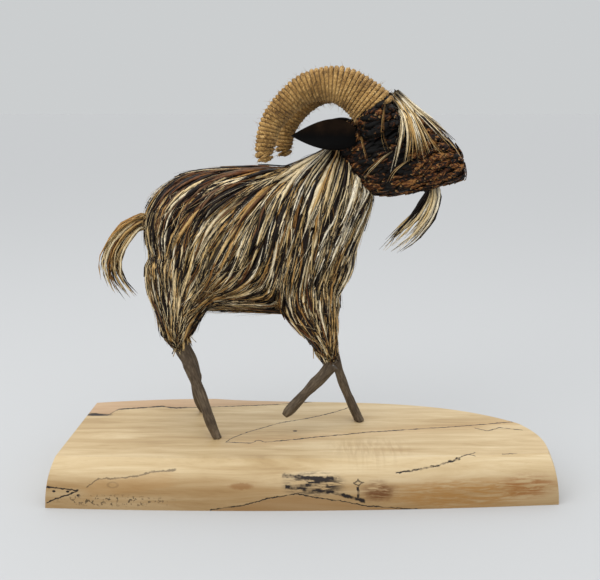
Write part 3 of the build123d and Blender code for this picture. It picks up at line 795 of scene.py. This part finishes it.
# ---------------------------------------------------------------------------- courses of the coat
# each course runs from root to tip, as X and Z, the way that the hackles lie on the goat's right side
COURSES = [
    [(-14, 212), (-34, 210), (-60, 208), (-81, 202), (-94, 190), (-102, 174), (-103, 158), (-101, 143),
     (-97, 127),
     (-94, 110), (-90, 98)],
    [(-32, 207), (-53, 201), (-68, 190), (-82, 174), (-90, 155), (-92, 133), (-89, 110), (-86, 100)],
    [(-22, 206), (-38, 195), (-56, 179), (-67, 161), (-74, 141), (-80, 122), (-84, 105)],
    [(-14, 206), (-29, 190), (-41, 169), (-52, 150), (-63, 133), (-72, 122), (-78, 108)],
    [(-6, 209), (-19, 188), (-28, 165), (-35, 147), (-44, 135), (-57, 125), (-69, 118), (-75, 108)],
    [(2, 216), (-8, 204), (-17, 182), (-20, 161), (-25, 144), (-37, 132), (-50, 123)],
    [(10, 220), (-2, 219), (-14, 211), (-22, 204)],
    [(15, 219), (10, 198), (4, 177), (0, 155), (-2, 133)],
    [(26, 220), (23, 198), (18, 177), (13, 155), (10, 133)],
    [(38, 214), (38, 193), (32, 172), (25, 155), (20, 138), (18, 122)],
    [(-15, 117), (-28, 116), (-45, 117), (-59, 118), (-70, 115)],
]
RAISED_LEG_COURSES = [
    [(10, 220), (0, 204), (-7, 182), (-11, 161), (-14, 138), (-12, 122), (-1, 107), (14, 88)],
    [(-2, 133), (2, 116), (14, 99), (20, 84)],
    [(10, 133), (12, 116), (17, 99), (20, 84)],
    [(18, 122), (19, 107), (20, 84)],
]
STANDING_LEG_COURSES = [
    [(10, 220), (0, 204), (-7, 182), (-10, 161), (-8, 138), (2, 118), (12, 96), (19, 72)],
    [(5, 133), (12, 110), (18, 90), (23, 70)],
    [(18, 133), (20, 110), (23, 90), (25, 68)],
]
REACH = 8.0


def samples(courses):
    """The middles and the directions of all the courses' stretches."""
    middles, directions = [], []
    for course in courses:
        fine = along_curve(course, 4 * len(course))
        middles += list((fine[1:] + fine[:-1]) / 2)
        directions += list(unit(np.diff(fine, axis=0)))
    return np.array(middles), np.array(directions)


NEAR_FLOW = samples(COURSES + RAISED_LEG_COURSES)
FAR_FLOW = samples(COURSES + STANDING_LEG_COURSES)


def coat_flow(point):
    """Which way the hackles lie at a place."""
    middles, directions = NEAR_FLOW if point[1] < MIDDLE_Y else FAR_FLOW
    gap = ((middles - point[[0, 2]]) ** 2).sum(1)
    weight = np.exp(-(gap - gap.min()) / (2 * REACH ** 2))
    dx, dz = (directions * weight[:, None]).sum(0)
    fan = 0.4 * np.tanh((point[1] - MIDDLE_Y) / 8.0)
    return np.array([dx, fan * math.hypot(dx, dz), dz])


def grow_spine(skin, root, flow, length, rows, sink, rise, turn, curl):
    """A shaft that follows the flow over a skin, from under its neighbours' tips to over the next ones.
    Where the skin turns under at the end of a limb, the shaft runs on freely."""
    place, normal = skin.nearest(root)
    spine, normals = [], []
    last = 0.0
    heading = None
    free = False
    for row in rows:
        step = (row - last) * length
        last = row
        if heading is not None and free:
            place = place + heading * step * 0.3
        elif heading is not None:
            landed, facing = skin.nearest(place + heading * step)
            free = place[2] < LIMB_END and heading[2] < -0.55 and facing[2] < -0.35
            if free:
                heading = unit(heading - 0.3 * normal)
                place = place + heading * step * 0.3
            else:
                place, normal = landed, facing
        if not free:
            heading = flow(place)
            heading = heading - normal * (heading @ normal)
            heading /= max(np.linalg.norm(heading), 1e-6)
            swing = turn + curl * row
            heading = heading * math.cos(swing) + np.cross(normal, heading) * math.sin(swing)
        lift = -sink + (sink + rise) * row ** 0.8
        spine.append(place + normal * lift)
        normals.append(normal)
    return np.array(spine), np.array(normals)


def node_trees(names):
    """Search trees of CAD nodes, in millimetres."""
    trees = {}
    for node in names:
        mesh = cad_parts[node].data
        mesh.calc_loop_triangles()
        points = [tuple(c / MM for c in v.co) for v in mesh.vertices]
        trees[node] = BVHTree.FromPolygons(points, [tuple(t.vertices) for t in mesh.loop_triangles])
    return trees


def nearest_node(trees, point):
    return min(trees, key=lambda node: trees[node].find_nearest(Vector(point))[3])


def coat_gap(point):
    """How far apart the hackles' roots are."""
    return 2.6 if point[2] < LOW_COAT else 3.05


def coat_tint(root, rng):
    """Straw and gold on the flanks and the limbs, paler on the neck, and black and brown along the back."""
    low = np.clip((185 - root[2]) / 80, 0, 1)
    neck = np.clip(root[0] / 25, 0, 1) * np.clip((root[2] - 165) / 35, 0, 1)
    shade = rng.beta(2.0, 2.0) * 0.84 + 0.16 * low - 0.2 * neck
    kind = rng.random()
    if root[2] > 201 and -74 < root[0] < -6 and rng.random() < 0.6:
        kind = rng.choice([0.97, 0.1])
        shade = rng.uniform(0.8, 0.9)
    return kind, float(np.clip(shade, 0, 1))


def stray(skin, root, rng):
    """A single barb that has come away from the coat."""
    rows = np.linspace(0, 1, 7)
    spine, _ = grow_spine(skin, root, coat_flow, rng.uniform(16, 38), rows, 0.0, rng.uniform(1.5, 4.2),
                          rng.normal(0, 0.3), rng.normal(0, 0.4))
    points, faces, uv = tube(spine, np.linspace(0.17, 0.03, 7), 3, (0.3, 0.8, 0.5))
    uv = np.stack([np.full(len(uv), 0.9), 0.4 + 0.5 * uv[:, 1] / uv[:, 1].max()], 1)
    return points, faces, uv


def lay_coat(skin, rng):
    trees = node_trees(COAT_NODES)
    bundles = {node: Bundle() for node in COAT_NODES}
    for root in skin.spread(rng, coat_gap, 60000):
        low = root[2] < LOW_COAT
        length = rng.uniform(22, 34) if low else rng.uniform(40, 58)
        width = rng.uniform(2.3, 3.5) if low else rng.uniform(2.7, 4.7)
        spine, normals = grow_spine(skin, root, coat_flow, length, LONG_HACKLE.rows, 1.2,
                                    rng.uniform(0.3, 2.2),
                                    rng.normal(0, 0.08), rng.normal(0, 0.1))
        if unit(spine[2] - spine[0]) @ unit(spine[-1] - spine[-3]) < 0.35:
            spine, normals = grow_spine(skin, root, coat_flow, length * 0.45, LONG_HACKLE.rows, 1.2, 1.0, 0.0,
                                        0.0)
            width *= 0.7
        tilt = rng.normal(0, 0.25)
        normals = unit(normals + np.cross(unit(np.gradient(spine, axis=0)), normals) * tilt)
        points = LONG_HACKLE.lay(spine, normals, width)
        bundle = bundles[nearest_node(trees, root)]
        bundle.add(points, LONG_HACKLE.faces, LONG_HACKLE.uv, coat_tint(root, rng))
        if rng.random() < 0.34:
            bundle.add(*stray(skin, root, rng), (rng.choice([0.3, 0.97]), rng.uniform(0.1, 0.8)))
    for node, bundle in bundles.items():
        piece = bundle.piece(node.replace("hackles", "coat"), "hackle", HACKLE)
        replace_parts(piece, node)


def turn_to_down(skin_piece, name, depth):
    """Draws a skin in under its feathers, and makes it down."""
    skin_piece.name = name
    sink = skin_piece.modifiers.new("sink", "DISPLACE")
    sink.strength = -depth * MM
    sink.mid_level = 0.0
    apply_modifiers(skin_piece)
    skin_piece.data.materials.append(DOWN)
    skin_piece.data.shade_smooth()


def make_undercoat(down):
    """Down under the hackles."""
    turn_to_down(down, "undercoat", 1.9)
    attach(down, "root")


def ease(value):
    """A smooth step from 0 to 1."""
    value = np.clip(value, 0, 1)
    return value * value * (3 - 2 * value)


def trim_skin(piece):
    """Draws the backs of the thighs and the front of the chest in, and lifts the thighs' ends."""
    mesh = piece.data
    places = np.array([v.co[:] for v in mesh.vertices]) / MM
    x, y, z = places.T
    back = ease((-80 - x) / 18) * ease((130 - z) / 20)
    left_chest = ease((x - 14) / 12) * ease((150 - z) / 25) * ease((y + 6) / 8)
    right_chest = ease((x - 16) / 12) * ease((140 - z) / 25) * ease((2 - y) / 8)
    places[:, 0] += 4.5 * back - 5.5 * left_chest - 2.0 * right_chest
    places[:, 2] += 7.0 * ease((-50 - x) / 12) * ease((108 - z) / 20)
    mesh.vertices.foreach_set("co", (places * MM).ravel())
    mesh.update()


coat_skin_piece = skin_over(COAT_NODES + CORE_NODES, "coat_skin", 1.8, 14)
trim_skin(coat_skin_piece)
coat_skin = Skin(coat_skin_piece)
lay_coat(coat_skin, np.random.default_rng(11))
make_undercoat(coat_skin_piece)


# ---------------------------------------------------------------------------- the head
POLL = np.array([34.0, 10.0, 221.0])
TURN = math.radians(9)
FORWARD = np.array([math.cos(TURN), -math.sin(TURN), 0.0])
ASIDE = np.array([math.sin(TURN), math.cos(TURN), 0.0])


def at_head(along, side, rise):
    return POLL + FORWARD * along + ASIDE * side + UP * rise


# along, flare, rise, half width, half depth, from the foot on the brow to the tip behind the ear
HORN_STATIONS = [(18, 0, 15, 12.6, 14.6), (10.5, 0, 31, 12.6, 14.6), (-10.5, 0.5, 44.5, 11.4, 12.1),
                 (-34, 2, 41, 9.6, 9.7), (-53, 4, 22, 7.9, 7.9), (-58.5, 6, 2, 6.3, 6.3), (-57, 6.5, -4, 5.4,
                                                                                           5.4)]
HORN_SPREAD = 13.6
LEFT_HORN = 0.92  # its size beside the right one's
TURN_PITCH = 2.55  # from one turn of twine to the next
TURN_STEPS = 84
TIP_RUN = 1.4  # how far along a horn its closing turns reach
PLY_TWIST = 4.6  # the twine's run in one twist of its plies


def head_flow(point):
    """The short feathers lie back from the nose and a little down."""
    side = (point - POLL) @ ASIDE
    low = np.clip((POLL[2] - 6 - point[2]) / 24, 0, 1)
    return -FORWARD + UP * (-0.35 + 0.1 * low) + ASIDE * 0.02 * side


def head_shade(along, rise, rng):
    """How black or how rusty a feather is: black before the eyes, brown on the cheek and the muzzle."""
    level = 0.62 + rng.normal(0, 0.2)
    if 16 < along < 44 and rise > -12:
        level -= 0.4
    if along > 46:
        level += 0.06
    if along < 8:
        level += 0.08
    return float(np.clip(level, 0.02, 0.98))


def lay_head(skin, rng):
    trees = node_trees(HEAD_NODES)
    bundles = {node: Bundle() for node in HEAD_NODES}
    for root in skin.spread(rng, lambda point: 2.9, 12000):
        along, rise = (root - POLL) @ FORWARD, root[2] - POLL[2]
        nose = np.clip((along - 35) / 35, 0, 1)
        length = rng.uniform(11, 16) * (1 - 0.35 * nose)
        width = rng.uniform(5.0, 6.8) * (1 - 0.25 * nose)
        spine, normals = grow_spine(skin, root, head_flow, length, GAME_FEATHER.rows, 0.9,
                                    rng.uniform(0.3, 1.3),
                                    rng.normal(0, 0.16), rng.normal(0, 0.2))
        tilt = rng.normal(0, 0.14)
        normals = unit(normals + np.cross(unit(np.gradient(spine, axis=0)), normals) * tilt)
        tint = (head_shade(along, rise, rng), rng.random())
        bundles[nearest_node(trees, root)].add(GAME_FEATHER.lay(spine, normals, width), GAME_FEATHER.faces,
                                               GAME_FEATHER.uv, tint)
    for node, bundle in bundles.items():
        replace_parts(bundle.piece(node.replace("feathers", "plumage"), "mottled_feather", GAME), node)


def horn_line(side, scale, count):
    """The middle of a horn with its half width and half depth, evenly shared from the foot to the tip."""
    stations = []
    for along, flare, rise, wide, deep in HORN_STATIONS:
        x, z = 18 + (along - 18) * scale, 15 + (rise - 15) * scale
        stations.append((*at_head(x, side * (HORN_SPREAD + flare), z), wide * scale, deep * scale))
    return along_curve(stations, count)


def horn_sleeve(side, scale):
    """The feathered root that each horn grows out of."""
    line = horn_line(side, scale, 60)[:9]
    points, faces, _ = tube(line[:, :3], line[:, 3] + 0.4, 20, ASIDE)
    mesh = bpy.data.meshes.new("sleeve")
    mesh.from_pydata((points * MM).tolist(), [], faces)
    sleeve = bpy.data.objects.new("sleeve", mesh)
    bpy.context.scene.collection.objects.link(sleeve)
    return sleeve


sleeves = [horn_sleeve(-1, 1.0), horn_sleeve(1, LEFT_HORN)]
head_skin_piece = skin_over(HEAD_NODES + ["head_core"], "head_skin", 1.3, 8, sleeves)
head_skin = Skin(head_skin_piece)
lay_head(head_skin, np.random.default_rng(5))


def make_face_down(skin_piece):
    """Dark down under the short feathers."""
    turn_to_down(skin_piece, "face_down", 1.0)
    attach(skin_piece, "root")


make_face_down(head_skin_piece)


# ---------------------------------------------------------------------------- plumes
def lay_plume(bundle, spine, width, facing, tint, rng):
    """One long hackle along a free spine, turned to face a way."""
    forward = unit(np.gradient(spine, axis=0))
    facing = np.asarray(facing, float) + rng.normal(0, 0.3, 3)
    normals = unit(facing - forward * (forward @ facing)[:, None])
    bundle.add(LONG_HACKLE.lay(spine, normals, width), LONG_HACKLE.faces, LONG_HACKLE.uv, tint)


def fan(first, second, share, length):
    """A curve between two others, cut to a share of its length."""
    rows = len(LONG_HACKLE.rows)
    curve = along_curve(first, 40) * (1 - share) + along_curve(second, 40) * share
    curve = curve[:max(6, int(40 * length))]
    return along_curve(curve, rows)


def drape(skin, course, side, lift):
    """A course of X and Z that is laid onto one side of a skin."""
    spine = []
    for x, z in course:
        start = Vector((x, MIDDLE_Y + side * 70, z))
        place, _, _, _ = skin.tree.ray_cast(start, Vector((0, -side, 0)))
        spine.append(None if place is None else np.array(place))
    known = [p[1] for p in spine if p is not None]
    level = known[0] if known else MIDDLE_Y
    out = []
    for (x, z), p in zip(course, spine):
        level = p[1] if p is not None else level
        out.append((x, level + side * lift, z))
    return np.array(out)


# from between the horns, down over the cheek and the brow, as X and Z on the head's right side
FORELOCK_COURSES = [
    [(56, 260), (61, 247), (61, 236), (58, 225), (55, 211)],
    [(57, 260), (65, 246), (67, 232), (65, 218)],
    [(58, 260), (67, 246), (71, 232), (74, 216)],
    [(59, 260), (69, 247), (75, 234), (79, 222)],
    [(59, 261), (71, 249), (81, 237), (90, 225)],
    [(60, 262), (73, 251), (87, 241), (100, 230)],
]
FORELOCK_LOCKS = (0.0, 0.2, 0.9, 1.1, 1.2, 1.9, 2.1, 2.3, 3.0, 3.2, 4.6, 4.9, 5.0)
JAW_COURSES = [
    [(56, 224), (50, 220), (45, 215), (41, 211), (38, 205)],
    [(68, 219), (62, 215), (57, 210), (54, 203)],
]
FINE_COURSES = [
    [(51, 256), (49, 243), (50, 233), (54, 222)],
    [(38, 243), (36, 232), (40, 216)],
    [(88, 235), (96, 227), (102, 218)],
    [(70, 250), (76, 238), (83, 227), (92, 217)],
]


def make_forelock(rng):
    """Cream and black hackles from between the horns, and the fine pale rims on the cheeks."""
    bundle = Bundle()
    for side in (-1, 1):
        for k in range(112):
            share = np.clip(FORELOCK_LOCKS[k % len(FORELOCK_LOCKS)] + rng.normal(0, 0.24), 0, 4.999)
            low = int(share)
            first = along_curve(FORELOCK_COURSES[low], 12)
            second = along_curve(FORELOCK_COURSES[low + 1], 12)
            mixed = first * (1 - share + low) + second * (share - low)
            mixed = (mixed + rng.normal(0, 0.5, 2))[:rng.integers(8, 13)]
            spine = drape(head_skin, mixed, side, rng.uniform(2.2, 4.4))
            root = at_head(20.5, side * rng.uniform(0.5, 6.0), 39.0)
            out = np.clip(np.linspace(0, 4, len(spine)), 0, 1)[:, None]
            spine[:, 1:2] = root[1] * (1 - out) + spine[:, 1:2] * out
            spine = along_curve(spine, len(LONG_HACKLE.rows))
            dark = rng.random() < 0.22
            tint = (0.97 if dark else rng.choice([0.1, 0.3, 0.6]), rng.uniform(0.05, 0.68))
            lay_plume(bundle, spine, rng.uniform(1.2, 2.5), (0.2, side, 0.2), tint, rng)
        for course, lift, count in [(c, 2.1, 3) for c in JAW_COURSES] + [(c, 2.2, 3) for c in FINE_COURSES]:
            for _ in range(count):
                mixed = along_curve(course, 9) + rng.normal(0, 1.1, (1, 2)) * np.linspace(0.3, 1, 9)[:, None]
                spine = drape(head_skin, mixed, side, lift)
                spine = along_curve(spine, len(LONG_HACKLE.rows))
                lay_plume(bundle, spine, rng.uniform(0.35, 0.65), (0, side, 0), (0.1, rng.uniform(0.3, 0.8)),
                          rng)
    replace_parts(bundle.piece("forelock_hackles", "pale_feather", PLUME), "forelock")


def wisps(bundle, outer, inner, middle, count, spread, dark_share, widths, shades, rng):
    """A hanging plume between two curves of X and Z."""
    for _ in range(count):
        share, level = rng.random(), rng.normal(0, spread)
        spine = fan(outer, inner, share, rng.uniform(0.55, 1.0) ** 0.7)
        stretch = np.linspace(0, 1, len(spine))
        bow = np.stack([np.sin(stretch * math.pi), stretch ** 2], 1) @ rng.normal(0, 1.1, (2, 2))
        spine = spine + bow
        spine = np.stack([spine[:, 0], middle + level * (0.4 + 1.3 * stretch), spine[:, 1]], 1)
        dark = rng.random() < dark_share * (1.6 - 1.2 * share)
        tint = (0.97 if dark else rng.choice([0.1, 0.1, 0.6]), rng.uniform(*shades))
        lay_plume(bundle, spine, rng.uniform(*widths), (0.2, rng.choice([-1, 1]), 0.1), tint, rng)


def make_beard(rng):
    """Wispy hackles from under the chin, swept back."""
    bundle = Bundle()
    outer = [(86, 208), (90, 197), (89, 186), (84, 174), (74, 162), (60, 152)]
    inner = [(82, 206), (81, 197), (76, 187), (67, 177), (57, 167), (48, 156)]
    wisps(bundle, outer, inner, POLL[1] - 7.5, 40, 2.0, 0.1, (1.2, 2.6), (0.0, 0.5), rng)
    black = [(84, 207), (84, 198), (80, 189), (73, 179), (62, 168), (54, 157)]
    wisps(bundle, black, black, POLL[1] - 9.0, 9, 1.4, 5.0, (1.4, 2.2), (0.0, 0.5), rng)
    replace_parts(bundle.piece("beard_hackles", "pale_feather", PLUME), "beard")


def make_tail(rng):
    """Long hackles that rise from the rump, arch over and hang in wisps."""
    bundle = Bundle()
    outer = [(-97, 178), (-110, 180), (-125, 173), (-136, 161), (-141, 147), (-139, 134), (-132, 121)]
    inner = [(-97, 172), (-109, 172), (-119, 164), (-125, 154), (-128, 144), (-124, 132), (-114, 121)]
    wisps(bundle, outer, inner, MIDDLE_Y, 84, 2.4, 0.2, (1.0, 2.3), (0.2, 0.84), rng)
    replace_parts(bundle.piece("tail_hackles", "pale_feather", PLUME), "tail")


make_forelock(np.random.default_rng(21))
make_beard(np.random.default_rng(22))
make_tail(np.random.default_rng(23))

# ---------------------------------------------------------------------------- horns of wound twine
def wind_horn(name, node, side, scale, rng):
    """Three-ply twine wound round a horn, turn against turn, and closed over its tip."""
    line = horn_line(side, scale, 400)[42:]
    length = np.linalg.norm(np.diff(line[:, :3], axis=0), axis=1).sum()
    step = TURN_STEPS
    body = int((length - TIP_RUN) / TURN_PITCH)
    count = (body + 2) * step
    phase = np.arange(count) / step * 2 * math.pi
    done = np.clip(np.arange(count) / (body * step), 0, 1)
    ending = np.clip((np.arange(count) - body * step) / (2 * step), 0, 1)
    share = done * (1 - TIP_RUN / length) + ending * TIP_RUN / length
    centre = np.stack([np.interp(share, np.linspace(0, 1, len(line)), line[:, k]) for k in range(5)], 1)
    smooth = np.stack([np.interp(done, np.linspace(0, 1, len(line)), line[:, k]) for k in range(3)], 1)
    forward = unit(np.gradient(smooth[:body * step], axis=0))
    forward = np.vstack([forward, np.tile(forward[-1], (count - len(forward), 1))])
    wide_way = unit(ASIDE - forward * (forward @ ASIDE)[:, None])
    deep_way = np.cross(forward, wide_way)
    close = 1 - 0.82 * ending ** 1.15
    radius = (centre[:, 3:5] - 1.3) * close[:, None]
    wobble = 0.16 * np.sin(phase * 0.37 + side) + 0.12 * np.sin(phase * 0.113)
    out = wide_way * (np.cos(phase) * (radius[:, 0] + wobble))[:, None]
    out = out + deep_way * (np.sin(phase) * (radius[:, 1] + wobble))[:, None]
    path = centre[:, :3] + out
    gap = np.linalg.norm(path[step:] - path[:-step], axis=1)
    gap = np.concatenate([gap, np.full(count - len(gap), gap[body * step - step])])
    thick = np.clip(gap * 0.52, 1.05, 1.75)
    along = unit(np.gradient(path, axis=0))
    outward = unit(out - along * (out * along).sum(1)[:, None])
    across = np.cross(along, outward)
    run = np.concatenate([[0], np.cumsum(np.linalg.norm(np.diff(path, axis=0), axis=1))])
    twist = run * 2 * math.pi / PLY_TWIST + 0.5 * np.sin(run * 0.05)
    bundle = Bundle()
    for ply in range(3):
        angle = twist + ply * 2 * math.pi / 3
        swing = outward * np.cos(angle)[:, None] + across * np.sin(angle)[:, None]
        strand = path + swing * (thick * 0.52)[:, None]
        points, faces, uv = tube(strand, thick * 0.53, 5, (0.2, 1, 0.1))
        bundle.add(points, faces, uv, (0.5, ply / 3 + 0.1))
    for _ in range(700):
        k = rng.integers(10, count - 10)
        base = path[k] + outward[k] * thick[k] * 0.8
        way = unit(along[k] * rng.choice([-1, 1]) + outward[k] * rng.uniform(0.2, 0.9)
                   + rng.normal(0, 0.3, 3))
        bend = rng.normal(0, 0.35, 3)
        reach = rng.uniform(1.6, 4.2)
        hair = [base + way * reach * t + bend * reach * t * t for t in (0, 0.35, 0.7, 1)]
        points, faces, uv = tube(hair, (0.09, 0.08, 0.06, 0.03), 3, (0.3, 0.4, 0.8))
        bundle.add(points, faces, uv, (0.9, 0.9))
    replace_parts(bundle.piece(name, "jute", JUTE), node)


wind_horn("twine_right", "horn_twine_right", -1, 1.0, np.random.default_rng(31))
wind_horn("twine_left", "horn_twine_left", 1, LEFT_HORN, np.random.default_rng(32))


# ---------------------------------------------------------------------------- whittled sticks
HOCK = 93.0  # the height of the hind legs' bend


def hind_stick(foot, hock, hip_y):
    """A hind leg's middle from the hip, over the hock to the slab. foot and hock are X and Y."""
    def shank(lean, share):
        height = SLAB_TOP + (HOCK - SLAB_TOP) * share
        return (hock[0] + lean, hock[1] + (foot[1] - hock[1]) * (1 - share), height)

    return [(hock[0] + 8, hip_y, 140), (hock[0] - 1, (hip_y + hock[1]) / 2, 116.5), (hock[0], hock[1], HOCK),
            shank(4.5, 0.82), shank(11.5, 0.52), shank(foot[0] - hock[0] - 5, 0.2), (foot[0], foot[1],
                                                                                     SLAB_TOP)]


HIND_GIRTH = (3.4, 3.8, 4.9, 4.3, 3.7, 3.5, 3.1)
STICKS = {
    "hind_leg_right": (hind_stick((-60.5, -17), (-84, -11), -4), HIND_GIRTH),
    "hind_leg_left": (hind_stick((-74.5, 36), (-92, 31), 24), HIND_GIRTH),
    "fore_leg_left": ([(14, 24, 130), (17, 23.5, 100), (21, 22, 78), (26.5, 20, 59), (33.5, 18, 42),
                       (39.5, 16, SLAB_TOP)], (3.2, 3.3, 3.4, 3.3, 3.2, 3.5)),
    "raised_upper_stick": ([(-2, -5, 130), (5, -8, 106), (13, -10, 88), (18, -11, 79.5)],
                           (3.2, 3.8, 4.4, 4.3)),
    "raised_shank": ([(18.5, -11, 79.5), (12.5, -11, 72), (4.5, -11, 63.5), (-4, -11.5, 54.5), (-11, -12, 47),
                      (-14, -12, 43.5)], (4.7, 4.3, 3.6, 3.4, 3.7, 2.4)),
}


def whittle(node, path, girth, rng):
    """A stick with flats and small knots. A standing stick's sole is cut level on the slab."""
    rings, sides = 64, 14
    line = along_curve([(*p, g) for p, g in zip(path, girth)], rings)
    standing = path[-1][2] == SLAB_TOP
    if standing:
        line = np.vstack([line, line[-1] + (line[-1] - line[-2]) * 0.4])
    points, faces, uv = tube(line[:, :3], line[:, 3], sides)
    centre = np.repeat(line[:, :3], sides, axis=0)
    centre = np.vstack([centre, line[:1, :3], line[-1:, :3]])
    phase = rng.uniform(0, 6, 4)
    turn = np.tile(np.linspace(0, 2 * math.pi, sides, endpoint=False), len(line))
    turn = np.concatenate([turn, [0, 0]])
    run = uv[:, 1]
    swell = 1 + 0.035 * np.sin(3 * turn + phase[0] + run * 0.05) + 0.05 * np.sin(run * 0.33 + phase[1])
    swell += 0.03 * np.sin(5 * turn + run * 0.21 + phase[2])
    for _ in range(4):
        knot, at = rng.uniform(15, run.max() - 8), rng.uniform(0, 2 * math.pi)
        swell += 0.12 * np.exp(-((run - knot) / 2.2) ** 2 - (1 - np.cos(turn - at)) * 3)
    points = centre + (points - centre) * swell[:, None]
    if standing:
        points[:, 2] = np.maximum(points[:, 2], SLAB_TOP)
    else:
        points[-1] += (line[-1, :3] - line[-2, :3]) * 0.8
    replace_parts(new_piece(node + "_whittled", points, faces, TWIG, [("vane", uv)]), node)


stick_rng = np.random.default_rng(41)
for stick, (stick_path, stick_girth) in STICKS.items():
    whittle(stick, stick_path, stick_girth, stick_rng)

# ---------------------------------------------------------------------------- carried-over pieces
CARRIED = {
    "base_slab": MAPLE, "foot_pins": STEEL, "knee_pin": STEEL, "horn_wires": STEEL, "neck_core": CARVED,
    "head_core": CARVED, "neck_dowel": DOWEL, "horn_core_right": PADDING, "horn_core_left": PADDING,
    "ear_right": LEATHER, "ear_left": LEATHER,
}


def pack_core(node, material):
    """A core's own copy, drawn in like the coat over it and a little slimmer than the CAD."""
    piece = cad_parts[node].copy()
    piece.data = piece.data.copy()
    piece.parent = None
    piece.name = node + "_packed"
    bpy.context.scene.collection.objects.link(piece)
    settle(piece)
    trim_skin(piece)
    normals = np.array([v.normal[:] for v in piece.data.vertices])
    places = np.array([v.co[:] for v in piece.data.vertices])
    piece.data.vertices.foreach_set("co", (places - normals * 0.9 * MM).ravel())
    piece.data.update()
    piece.data.materials.clear()
    piece.data.materials.append(material)
    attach(piece, "root")
    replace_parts(piece, node)


for limb in ("thigh_right", "thigh_left", "foreleg_right", "foreleg_left"):
    pack_core(limb + "_core", PADDING)
pack_core("torso_core", CARVED)

for node, material in CARRIED.items():
    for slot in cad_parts[node].material_slots:
        slot.material = material
